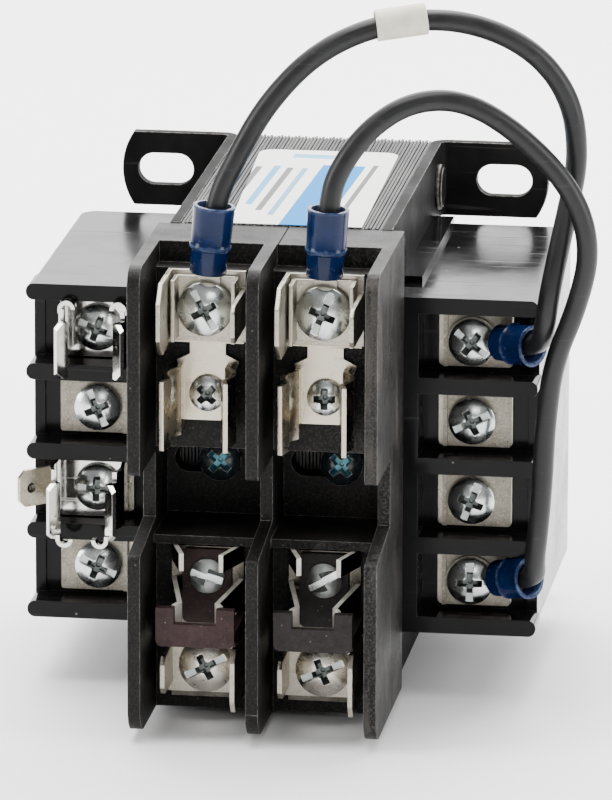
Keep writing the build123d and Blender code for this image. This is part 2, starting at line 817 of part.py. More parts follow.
# Lower clip strip of a pole, drawn at X = 0
with BuildPart() as load_clip:
    with BuildSketch(Plane.XZ.offset(pedestal_face)):
        with Locations((0, load_plate_bottom)):
            Rectangle(
                load_plate_width / 2, load_plate_top - load_plate_bottom, align=(Align.MIN, Align.MIN)
            )
        with Locations((0, load_level)):
            Circle(line_screw_shank / 2 + screw_fit, mode=Mode.SUBTRACT)
        with Locations((0, load_clip_level)):
            Circle(clip_screw_shank / 2 + screw_fit, mode=Mode.SUBTRACT)
    extrude(amount=clip_sheet)
    with BuildSketch(Plane.XY.offset(upper_arm_low)):
        with BuildLine():
            Polyline(
                (upper_arm_root, -pedestal_face),
                (upper_arm_root, -clip_face),
                (upper_arm_tip, -pedestal_face - upper_arm_depth),
            )
            offset(amount=clip_sheet, side=Side.LEFT)
        make_face()
    extrude(amount=upper_arm_high - upper_arm_low)
    with BuildSketch(Plane.XY.offset(lower_arm_low)):
        with BuildLine():
            Polyline(
                (lower_arm_root, -pedestal_face),
                (lower_arm_root, -clip_face),
                (lower_arm_pinch, -pedestal_face - lower_arm_depth),
                (lower_arm_lip, -pedestal_face - lower_arm_depth - lower_arm_lip_depth),
            )
            offset(amount=clip_sheet, side=Side.LEFT)
        make_face()
    extrude(amount=lower_arm_high - lower_arm_low)
    with BuildSketch(Plane.YZ):
        with BuildLine():
            arm_end = -pedestal_face - lower_arm_depth - lower_arm_lip_depth - clip_sheet
            Polyline(
                (-clip_face, lower_arm_high),
                (arm_end, lower_arm_high),
                (arm_end, lower_arm_front),
                close=True,
            )
        make_face()
    extrude(amount=load_plate_width, mode=Mode.SUBTRACT)
    mirror(about=Plane.YZ)


def tab_piece(level, left_depth, left_height, left_chamfer, right_depth):
    """Folded piece under a terminal screw, with push-on tabs standing forward at both sides."""
    with BuildPart() as piece:
        with BuildSketch(Plane.XZ.offset(clip_face)):
            with Locations((0, level)):
                Rectangle(tabs_width, 2 * tabs_half_height)
                Circle(line_screw_shank / 2 + screw_fit, mode=Mode.SUBTRACT)
        extrude(amount=tab_sheet)
        for sign, height, depth, chamfer_size in (
            (-1, left_height, left_depth, left_chamfer),
            (1, side_tab_height, right_depth, side_tab_chamfer),
        ):
            edge = sign * tabs_width / 2
            with BuildSketch(Plane.YZ.offset(edge)) as wall:
                with Locations((-clip_face, level)):
                    Rectangle(depth + tab_sheet, height, align=(Align.MAX, Align.CENTER))
                fronts = wall.vertices().group_by(Axis.X)[0]
                chamfer(fronts, chamfer_size)
            extrude(amount=-sign * tab_sheet)
    return piece.part


line_tabs = tab_piece(line_level, wall_depth, 2 * tabs_half_height, wall_chamfer, side_tab_depth)
load_tabs = tab_piece(load_level, load_tab_depth, side_tab_height, side_tab_chamfer, load_tab_depth)

with BuildPart() as saddle:
    with BuildSketch(Plane.XZ.offset(tabs_face)):
        with Locations((0, line_level)):
            Rectangle(saddle_width, 2 * saddle_half_height)
            Circle(line_screw_shank / 2 + screw_fit, mode=Mode.SUBTRACT)
    extrude(amount=saddle_sheet)
    with BuildSketch(Plane.XZ.offset(tabs_face)):
        saddle_edge = (saddle_width - saddle_sheet) / 2
        with Locations((saddle_edge, line_level), (-saddle_edge, line_level)):
            Rectangle(saddle_sheet, 2 * saddle_half_height)
    extrude(amount=saddle_sheet + saddle_rise)

with BuildPart() as rejection_plate:
    rejection_back = core_front + rejection_front - rejection_thickness
    with BuildSketch(Plane.XZ.offset(rejection_back)):
        with Locations((0, rejection_bottom)):
            Rectangle(rejection_width, rejection_top - rejection_bottom, align=(Align.CENTER, Align.MIN))
        with Locations((0, rejection_top)):
            Rectangle(
                rejection_notch_width,
                rejection_notch_depth,
                align=(Align.CENTER, Align.MAX),
                mode=Mode.SUBTRACT,
            )
    extrude(amount=rejection_thickness)
    lower_corners = rejection_plate.edges().filter_by(Axis.Y).group_by(Axis.Z)[0]
    fillet(lower_corners, rejection_corner)
    with BuildSketch(Plane.XZ.offset(clip_face)):
        leg_middle = (rejection_width - rejection_leg_width) / 2
        with Locations((leg_middle, rejection_bottom), (-leg_middle, rejection_bottom)):
            Rectangle(rejection_leg_width, rejection_leg_height, align=(Align.CENTER, Align.MIN))
    extrude(amount=rejection_back - clip_face)

for side, x in poles.items():
    for drawn, name in (
        (line_clip.part, "line_clip"),
        (load_clip.part, "load_clip"),
        (line_tabs, "line_tabs"),
        (load_tabs, "load_tabs"),
        (saddle.part, "line_saddle"),
        (rejection_plate.part, "rejection_plate"),
    ):
        with BuildPart() as placed_piece:
            with Locations((x, 0, 0)):
                add(drawn)
        save(placed_piece, f"{name}_{side}")

line_screw = pan_screw(line_screw_head, line_screw_head_height, line_screw_shank, line_screw_length)
line_seat = saddle_face + lug_sheet
line_turns = {"left": 60, "right": -67}
load_turns = {"left": -27, "right": -23}
line_clip_turns = {"left": 45, "right": 0}
load_clip_turns = {"left": 15, "right": -30}
line_clip_screw = pan_screw(
    clip_screw_head, clip_screw_head_height, clip_screw_shank, clip_screw_length, slotted=False
)
load_clip_screw = pan_screw(
    clip_screw_head, clip_screw_head_height, clip_screw_shank, clip_screw_length, crossed=False
)
for name, screw, seat, level, turns in (
    ("line_screws", line_screw, line_seat, line_level, line_turns),
    ("load_screws", line_screw, tabs_face, load_level, load_turns),
    ("line_clip_screws", line_clip_screw, clip_face, line_clip_level, line_clip_turns),
    ("load_clip_screws", load_clip_screw, clip_face, load_clip_level, load_clip_turns),
):
    save(screw_group(screw, [(x, seat, level, turns[side]) for side, x in poles.items()]), name)


def lug_pieces(start, length, bend, hole_diameter):
    """Ring tongue with crimp barrel along +Z and its sleeve; the tongue's back face is at Y = 0."""
    barrel_length = length * lug_barrel_share
    step = length * lug_step_share
    axis_plane = Plane(
        origin=(0, -lug_sheet - lug_barrel_rise, start),
        x_dir=(1, 0, 0),
        z_dir=(0, -sin(radians(bend)), cos(radians(bend))),
    )
    with BuildPart() as lug:
        with BuildSketch(Plane.XZ):
            Circle(lug_ring_diameter / 2)
            Rectangle(lug_neck_width, start, align=(Align.CENTER, Align.MIN))
            Circle(hole_diameter / 2, mode=Mode.SUBTRACT)
        extrude(amount=lug_sheet)
        with BuildSketch(axis_plane):
            Circle(lug_barrel_diameter / 2)
        extrude(amount=barrel_length)
        with BuildSketch(Plane.XZ):
            with Locations((0, start)):
                Rectangle(lug_neck_width, lug_sheet, align=(Align.CENTER, Align.MAX))
                if bend:
                    Rectangle(lug_heel_width, lug_heel_rise, align=(Align.CENTER, Align.MIN))
        extrude(amount=lug_sheet + lug_barrel_rise)
    with BuildPart() as sleeve:
        with BuildSketch(axis_plane):
            Circle(lug_sleeve_small / 2)
        extrude(amount=length)
        with BuildSketch(axis_plane.offset(step)):
            Circle(lug_sleeve_large / 2)
        extrude(amount=length - step)
        with BuildSketch(axis_plane):
            Circle(lug_barrel_diameter / 2 + lug_sleeve_fit)
        extrude(amount=length, mode=Mode.SUBTRACT)
        with BuildSketch(axis_plane.offset(barrel_length)):
            Circle(lug_mouth_bore / 2)
        extrude(amount=length, mode=Mode.SUBTRACT)
    wire_end = axis_plane.offset(barrel_length).origin
    wire_way = axis_plane.z_dir
    return lug.part, sleeve.part, wire_end, wire_way


line_lug = lug_pieces(line_lug_start, line_lug_length, 0, line_screw_shank + 2 * screw_fit)
strip_lug = lug_pieces(strip_lug_start, strip_lug_length, strip_lug_bend, strip_screw_shank + 2 * screw_fit)
lug_places = {}
for side, lean in (("left", line_lug_lean_left), ("right", line_lug_lean_right)):
    seat = (poles[side], -saddle_face, line_level)
    lug_places[f"line_{side}"] = (line_lug, Location(seat, (0, lean, 0)))
for name, level in (("upper", cell_levels[0]), ("lower", cell_levels[3])):
    seat = (terminal_offset, -clamp_front, level)
    lug_places[f"strip_{name}"] = (strip_lug, Location(seat, (0, 90 - strip_lug_leans[name], 0)))
lead_ends = {}
for place, ((lug_part, sleeve_part, wire_end, wire_way), location) in lug_places.items():
    with BuildPart() as placed_lug:
        with Locations(location):
            add(lug_part)
    save(placed_lug, f"lug_{place}")
    with BuildPart() as placed_sleeve:
        with Locations(location):
            add(sleeve_part)
    save(placed_sleeve, f"sleeve_{place}")
    lead_straight = strip_lead_straight if "strip" in place else line_lead_straight
    lead_ends[place] = [
        (location * Location(wire_end + wire_way * run)).position for run in (0, lead_straight)
    ]

# Leads: route points between the crimp barrels, as X, depth in front of the mounting plane, Z
outer_route = [
    (-4.6, 88.0, 56.0),
    (0.2, 86.3, 65.0),
    (8.3, 84.4, 73.6),
    (19.0, 82.4, 78.2),
    (31.0, 79.4, 78.6),
    (42.0, 76.8, 73.9),
    (48.6, 75.0, 65.4),
    (50.0, 74.0, 54.8),
    (48.0, 73.9, 45.0),
    (46.4, 74.9, 36.8),
    (45.4, 75.6, 31.2),
    (44.8, 75.2, 26.4),
]
inner_route = [
    (12.0, 88.2, 54.4),
    (16.9, 86.4, 61.4),
    (24.0, 84.9, 65.9),
    (32.4, 82.9, 65.8),
    (41.4, 80.6, 59.7),
    (49.6, 78.8, 50.4),
    (52.5, 77.6, 40.6),
    (50.3, 76.4, 30.6),
    (46.3, 75.2, 20.6),
    (45.0, 74.8, 10.0),
    (44.6, 75.2, -1.0),
    (44.0, 75.7, -9.0),
    (43.4, 74.8, -13.4),
]


def lead_tube(name, start, end, route):
    points = start + [Vector(x, -depth, z) for x, depth, z in route] + end[::-1]
    radii = []
    for before, here, after in zip(points, points[1:], points[2:]):
        run_in = here - before
        run_out = after - here
        turn = acos(max(-1, min(1, run_in.normalized().dot(run_out.normalized()))))
        radii.append(lead_arc_share * min(run_in.length, run_out.length) / tan(turn / 2))
    with BuildPart() as tube:
        with BuildLine() as path:
            FilletPolyline(*points, radius=radii)
        with BuildSketch(Plane(origin=points[0], z_dir=points[1] - points[0])):
            Circle(lead_diameter / 2)
        sweep()
    length = path.wire().length
    section = pi * lead_diameter**2 / 4
    print(name, "radii", [round(r, 1) for r in radii])
    print(name, "length", round(length, 1), "volume share", round(tube.part.volume / (section * length), 3))
    save(tube, name)
    return path.wire()


outer_lead = lead_tube("lead_outer", lead_ends["line_left"], lead_ends["strip_upper"], outer_route)
lead_tube("lead_inner", lead_ends["line_right"], lead_ends["strip_lower"], inner_route)

# Wire marker on the outer lead, on the run across the top
with BuildPart() as wire_marker:
    marker_way = outer_lead % marker_share
    marker_start = outer_lead @ marker_share - marker_way * marker_length / 2
    with BuildSketch(Plane(origin=marker_start, z_dir=marker_way)):
        Circle(marker_diameter / 2)
        Circle(marker_bore / 2, mode=Mode.SUBTRACT)
    extrude(amount=marker_length)
save(wire_marker, "wire_marker")
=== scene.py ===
import math

import bmesh
import bpy
from mathutils import Matrix, Vector


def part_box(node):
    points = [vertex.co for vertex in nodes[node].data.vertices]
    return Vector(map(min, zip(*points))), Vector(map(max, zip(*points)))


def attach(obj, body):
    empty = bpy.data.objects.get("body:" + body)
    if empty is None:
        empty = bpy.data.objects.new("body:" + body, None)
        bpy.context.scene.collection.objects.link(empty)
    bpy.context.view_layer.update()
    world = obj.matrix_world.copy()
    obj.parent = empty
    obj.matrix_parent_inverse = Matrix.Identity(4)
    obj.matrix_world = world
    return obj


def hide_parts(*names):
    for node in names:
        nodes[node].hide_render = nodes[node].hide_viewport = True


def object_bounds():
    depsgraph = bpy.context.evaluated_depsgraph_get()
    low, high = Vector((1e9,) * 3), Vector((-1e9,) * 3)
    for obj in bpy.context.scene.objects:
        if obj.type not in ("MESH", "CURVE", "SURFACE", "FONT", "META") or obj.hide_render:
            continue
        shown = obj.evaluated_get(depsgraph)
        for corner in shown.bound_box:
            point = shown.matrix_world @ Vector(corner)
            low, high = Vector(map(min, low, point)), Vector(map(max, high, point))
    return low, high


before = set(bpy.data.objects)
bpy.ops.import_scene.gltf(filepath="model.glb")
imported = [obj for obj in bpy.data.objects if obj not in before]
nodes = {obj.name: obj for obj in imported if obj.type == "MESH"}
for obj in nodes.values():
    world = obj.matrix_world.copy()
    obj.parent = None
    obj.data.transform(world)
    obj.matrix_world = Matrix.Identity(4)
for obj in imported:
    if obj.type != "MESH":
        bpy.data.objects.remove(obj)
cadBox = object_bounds()
mm = 0.001
print("frame loaded:", len(nodes), "nodes")


# camera, floor and light

view = {
    "yaw": 7.87, "elevation": 14.54, "roll": -0.19, "distance": 1.43716, "lens": 388.6, "sensor": 36,
    "target": Vector((0, -0.0678, 0)),
    "slide": (-0.0042153, 0.0100589),  # how far the target sits right of and below the middle of the frame
    "clip": (0.05, 20),
}


def placeCamera(v):
    yaw, lift, roll = (math.radians(v[k]) for k in ("yaw", "elevation", "roll"))
    forward = Vector((-math.sin(yaw) * math.cos(lift), math.cos(yaw) * math.cos(lift), -math.sin(lift)))
    right = Matrix.Rotation(roll, 3, forward) @ Vector((math.cos(yaw), math.sin(yaw), 0))
    down = forward.cross(right)
    cam = bpy.data.objects.new("photoCamera", bpy.data.cameras.new("photoCamera"))
    bpy.context.collection.objects.link(cam)
    cam.location = v["target"] - right * v["slide"][0] - down * v["slide"][1] - forward * v["distance"]
    cam.rotation_euler = Matrix((right, -down, -forward)).transposed().to_euler()
    cam.data.lens, cam.data.sensor_width = v["lens"], v["sensor"]
    cam.data.clip_start, cam.data.clip_end = v["clip"]
    bpy.context.scene.camera = cam


placeCamera(view)

studio = {"floorTone": 0.95, "floorRough": 0.9, "floorHalf": 4, "worldTone": 0.95, "worldLight": 0.46}
lamps = [
    {"name": "topSoftbox", "at": (-0.1, 0.02, 0.95), "aim": (0, -0.02, 0), "size": (0.9, 0.6), "power": 18},
    {"name": "leftSoftbox", "at": (-0.9, -0.4, 0.4), "aim": (0, -0.05, 0), "size": (0.4, 0.7), "power": 10},
    {"name": "rightSoftbox", "at": (0.95, -0.25, 0.35), "aim": (0, -0.05, 0), "size": (0.4, 0.7), "power": 9},
    {"name": "frontFill", "at": (0.2, -1.4, 0.6), "aim": (0, -0.06, 0), "size": (0.4, 0.3), "power": 2},
    {"name": "backPanel", "at": (0, 1.6, 0.55), "aim": (0, 0.1, 0), "size": (2.6, 1.0), "power": 38},
    {"name": "floorWash", "at": (0, 0.42, 0.55), "aim": (0, 0.36, 0), "size": (1.0, 0.5), "power": 15},
]


def meshObject(name, bm):
    mesh = bpy.data.meshes.new(name)
    bm.to_mesh(mesh)
    bm.free()
    ob = bpy.data.objects.new(name, mesh)
    bpy.context.collection.objects.link(ob)
    return ob


def grey(tone):
    return (tone, tone, tone, 1)


def buildStudio(p):
    bm = bmesh.new()
    bmesh.ops.create_grid(bm, x_segments=1, y_segments=1, size=p["floorHalf"])
    bmesh.ops.translate(bm, verts=bm.verts, vec=(0, 0, cadBox[0].z))
    floor = meshObject("floor", bm)
    paper = bpy.data.materials.new("floorPaper")
    paper.use_nodes = True
    shader = paper.node_tree.nodes["Principled BSDF"]
    shader.inputs["Base Color"].default_value = grey(p["floorTone"])
    shader.inputs["Roughness"].default_value = p["floorRough"]
    floor.data.materials.append(paper)
    world = bpy.data.worlds.new("studio")
    bpy.context.scene.world = world
    world.use_nodes = True
    back = world.node_tree.nodes["Background"]
    back.inputs["Color"].default_value = grey(p["worldTone"])
    back.inputs["Strength"].default_value = p["worldLight"]
    for lamp in lamps:
        data = bpy.data.lights.new(lamp["name"], "AREA")
        data.shape = "RECTANGLE"
        data.size, data.size_y = lamp["size"]
        data.energy = lamp["power"]
        ob = bpy.data.objects.new(lamp["name"], data)
        bpy.context.collection.objects.link(ob)
        ob.location = lamp["at"]
        ob.rotation_euler = (Vector(lamp["aim"]) - ob.location).to_track_quat("-Z", "Y").to_euler()


buildStudio(studio)
print("studio set")


# shared shader groups

def newGroup(name, inputs, outputs):
    group = bpy.data.node_groups.new(name, "ShaderNodeTree")
    for label, kind, value in inputs:
        socket = group.interface.new_socket(label, in_out="INPUT", socket_type="NodeSocket" + kind)
        if value is not None:
            socket.default_value = value
    for label in outputs:
        group.interface.new_socket(label, in_out="OUTPUT", socket_type="NodeSocketFloat")
    return group, group.nodes.new("NodeGroupInput"), group.nodes.new("NodeGroupOutput")


def feed(tree, socket, source):
    if isinstance(source, bpy.types.NodeSocket):
        tree.links.new(source, socket)
    else:
        socket.default_value = (*source, 1) if isinstance(source, tuple) else source


def mathNode(tree, operation, *sources):
    node = tree.nodes.new("ShaderNodeMath")
    node.operation = operation
    for socket, source in zip(node.inputs, sources):
        feed(tree, socket, source)
    return node.outputs[0]


def spreadNode(tree, source, low, high):
    node = tree.nodes.new("ShaderNodeMapRange")
    node.inputs["From Min"].default_value = low
    node.inputs["From Max"].default_value = high
    tree.links.new(source, node.inputs["Value"])
    return node.outputs["Result"]


def splitNode(tree, vector):
    node = tree.nodes.new("ShaderNodeSeparateXYZ")
    tree.links.new(vector, node.inputs["Vector"])
    return node.outputs


def noiseNode(tree, vector, scale, detail, rough):
    node = tree.nodes.new("ShaderNodeTexNoise")
    node.inputs["Detail"].default_value = detail
    node.inputs["Roughness"].default_value = rough
    tree.links.new(vector, node.inputs["Vector"])
    tree.links.new(scale, node.inputs["Scale"])
    return node.outputs["Fac"]


def buildGrainGroup():
    group, start, end = newGroup("mouldedGrain", [("Vector", "Vector", None), ("Scale", "Float", 900.0),
                                                  ("Patch", "Float", 60.0)], ["Height", "Mask"])
    fine = noiseNode(group, start.outputs["Vector"], start.outputs["Scale"], 3, 0.65)
    broad = noiseNode(group, start.outputs["Vector"], start.outputs["Patch"], 4, 0.6)
    group.links.new(fine, end.inputs["Height"])
    group.links.new(spreadNode(group, broad, 0.35, 0.68), end.inputs["Mask"])
    return group


def buildGlintRubGroup():
    group, start, end = newGroup("rubAndGlintEdges", [("Vector", "Vector", None), ("Edge", "Float", 0.0),
                                             ("Scale", "Float", 700.0), ("Amount", "Float", 0.5)], ["Mask"])
    broken = noiseNode(group, start.outputs["Vector"], start.outputs["Scale"], 4, 0.7)
    kept = spreadNode(group, broken, 0.36, 0.64)
    worn = mathNode(group, "MULTIPLY", start.outputs["Edge"], kept)
    group.links.new(mathNode(group, "MULTIPLY", worn, start.outputs["Amount"]), end.inputs["Mask"])
    return group


def buildSpeckGroup():
    group, start, end = newGroup("dustSpecks", [("Vector", "Vector", None), ("Scale", "Float", 900.0),
                                                ("Size", "Float", 0.2), ("Share", "Float", 0.1)], ["Mask"])
    cells = group.nodes.new("ShaderNodeTexVoronoi")
    group.links.new(start.outputs["Vector"], cells.inputs["Vector"])
    group.links.new(start.outputs["Scale"], cells.inputs["Scale"])
    pick = group.nodes.new("ShaderNodeSeparateColor")
    group.links.new(cells.outputs["Color"], pick.inputs["Color"])
    near = mathNode(group, "LESS_THAN", cells.outputs["Distance"], start.outputs["Size"])
    chosen = mathNode(group, "LESS_THAN", pick.outputs["Red"], start.outputs["Share"])
    group.links.new(mathNode(group, "MULTIPLY", near, chosen), end.inputs["Mask"])
    return group


def buildScuffGroup():
    group, start, end = newGroup("fineScuffs", [("Vector", "Vector", None), ("Scale", "Float", 30.0)],
                                 ["Mask"])
    lines = []
    for angles, pull in (((0.2, 0.4, 0.5), (1, 22, 22)), ((0.7, -0.3, -0.9), (1, 30, 30))):
        turn = group.nodes.new("ShaderNodeMapping")
        turn.inputs["Rotation"].default_value = angles
        turn.inputs["Scale"].default_value = pull
        group.links.new(start.outputs["Vector"], turn.inputs["Vector"])
        thin = noiseNode(group, turn.outputs["Vector"], start.outputs["Scale"], 2, 0.5)
        lines.append(spreadNode(group, thin, 0.66, 0.74))
    group.links.new(mathNode(group, "MAXIMUM", *lines), end.inputs["Mask"])
    return group


def buildStreakGroup():
    group, start, end = newGroup("rubStreaks", [("Vector", "Vector", None), ("Scale", "Float", 26.0),
                                                ("Patch", "Float", 78.0)], ["Mask"])
    pull = group.nodes.new("ShaderNodeMapping")
    pull.inputs["Scale"].default_value = (14, 14, 1)
    group.links.new(start.outputs["Vector"], pull.inputs["Vector"])
    thin = noiseNode(group, pull.outputs["Vector"], start.outputs["Scale"], 4, 0.7)
    area = noiseNode(group, start.outputs["Vector"], start.outputs["Patch"], 3, 0.55)
    lines, patches = spreadNode(group, thin, 0.44, 0.7), spreadNode(group, area, 0.42, 0.62)
    group.links.new(mathNode(group, "MULTIPLY", lines, patches), end.inputs["Mask"])
    return group


def buildBandGroup():
    group, start, end = newGroup("printedBand", [("Value", "Float", 0.0), ("Low", "Float", 0.0),
                                                 ("High", "Float", 1.0)], ["Mask"])
    over = mathNode(group, "GREATER_THAN", start.outputs["Value"], start.outputs["Low"])
    under = mathNode(group, "LESS_THAN", start.outputs["Value"], start.outputs["High"])
    group.links.new(mathNode(group, "MULTIPLY", over, under), end.inputs["Mask"])
    return group


groups = {"grain": buildGrainGroup(), "wearAndGlint": buildGlintRubGroup(), "specks": buildSpeckGroup(),
          "scuffs": buildScuffGroup(), "streaks": buildStreakGroup(), "band": buildBandGroup()}


def groupNode(tree, kind, **sources):
    node = tree.nodes.new("ShaderNodeGroup")
    node.node_tree = groups[kind]
    for label, source in sources.items():
        feed(tree, node.inputs[label], source)
    return node


def mixNode(tree, kind, mask, low, high):
    node = tree.nodes.new("ShaderNodeMix")
    node.data_type = kind
    feed(tree, node.inputs["A"], low)
    feed(tree, node.inputs["B"], high)
    tree.links.new(mask, node.inputs["Factor"])
    return node.outputs["Result"]


def mixTone(tree, mask, low, high):
    return mixNode(tree, "RGBA", mask, low, high)


def mixValue(tree, mask, low, high):
    return mixNode(tree, "FLOAT", mask, low, high)


# materials

wearRough = {"scuff": 0.5, "wearAndGlint": 0.55, "parting": 1.0}


def handledTone(tree, place, pebbles, tone, look):  # streaks and rubbed grain, stronger towards the right
    handled = spreadNode(tree, splitNode(tree, place)["X"], *look["wornFrom"])
    streaks = groupNode(tree, "streaks", Vector=place).outputs["Mask"]
    tone = mixTone(tree, mathNode(tree, "MULTIPLY", streaks, handled), tone, look["streakTone"])
    return mixTone(tree, mathNode(tree, "MULTIPLY", pebbles, handled), tone, look["rubbedTone"])


def partingMask(tree, place, look):
    split = splitNode(tree, place)
    low, high = look["parting"]
    line = groupNode(tree, "band", Value=split["X"], Low=low, High=high).outputs["Mask"]
    return mathNode(tree, "MULTIPLY", line, mathNode(tree, "GREATER_THAN", split["Z"], look["partingOver"]))


def finishMaterial(name, look):
    mat = bpy.data.materials.new(name)
    mat.use_nodes = True
    tree = mat.node_tree
    shader = tree.nodes["Principled BSDF"]
    shader.inputs["Metallic"].default_value = look.get("metal", 0.0)
    shader.inputs["Specular IOR Level"].default_value = look.get("specular", 0.5)
    place = tree.nodes.new("ShaderNodeTexCoord").outputs["Object"]
    stretch = tree.nodes.new("ShaderNodeMapping")
    stretch.inputs["Scale"].default_value = look.get("stretch", (1, 1, 1))
    tree.links.new(place, stretch.inputs["Vector"])
    grain = groupNode(tree, "grain", Vector=stretch.outputs["Vector"], Scale=look["grain"],
                      Patch=look["patch"])
    tone = mixTone(tree, grain.outputs["Mask"], look["colour"], look["worn"])
    rough = mixValue(tree, grain.outputs["Mask"], look["rough"], look["roughWorn"])
    if "pebbleTone" in look:
        pebbles = spreadNode(tree, grain.outputs["Height"], *look.get("pebbleSpan", (0.52, 0.74)))
        tone = mixTone(tree, pebbles, tone, look["pebbleTone"])
        if "streakTone" in look:
            tone = handledTone(tree, place, pebbles, tone, look)
    if "scuffTone" in look:
        scuffs = groupNode(tree, "scuffs", Vector=place, Scale=look.get("scuffScale", 30.0)).outputs["Mask"]
        scuffs = mathNode(tree, "MULTIPLY", scuffs, look["scuffAmount"])
        tone = mixTone(tree, scuffs, tone, look["scuffTone"])
        rough = mixValue(tree, scuffs, rough, wearRough["scuff"])
    if "speckTone" in look:
        specks = groupNode(tree, "specks", Vector=place, Scale=look["speckScale"], Size=look["speckSize"],
                           Share=look["speckShare"]).outputs["Mask"]
        tone = mixTone(tree, specks, tone, look["speckTone"])
    # rounded edges lighten with wear; on the block screws the lighter edge is a painted glint
    if "rubAndGlintTone" in look:
        edge = tree.nodes.new("ShaderNodeAttribute")
        edge.attribute_name = "edge"
        wearAndGlint = groupNode(tree, "wearAndGlint", Vector=place, Edge=edge.outputs["Fac"], Amount=look["rubAndGlintAmount"],
                        Scale=look.get("rubScale", 900.0)).outputs["Mask"]
        tone = mixTone(tree, wearAndGlint, tone, look["rubAndGlintTone"])
        rough = mixValue(tree, wearAndGlint, rough, wearRough["wearAndGlint"])
    if "parting" in look:
        parting = partingMask(tree, place, look)
        tone = mixTone(tree, parting, tone, look["colour"])
        rough = mixValue(tree, parting, rough, wearRough["parting"])
    tree.links.new(tone, shader.inputs["Base Color"])
    tree.links.new(rough, shader.inputs["Roughness"])
    bump = tree.nodes.new("ShaderNodeBump")
    bump.inputs["Strength"].default_value = look["bump"]
    bump.inputs["Distance"].default_value = look.get("bumpDepth", 0.0001)
    tree.links.new(grain.outputs["Height"], bump.inputs["Height"])
    tree.links.new(bump.outputs["Normal"], shader.inputs["Normal"])
    return mat


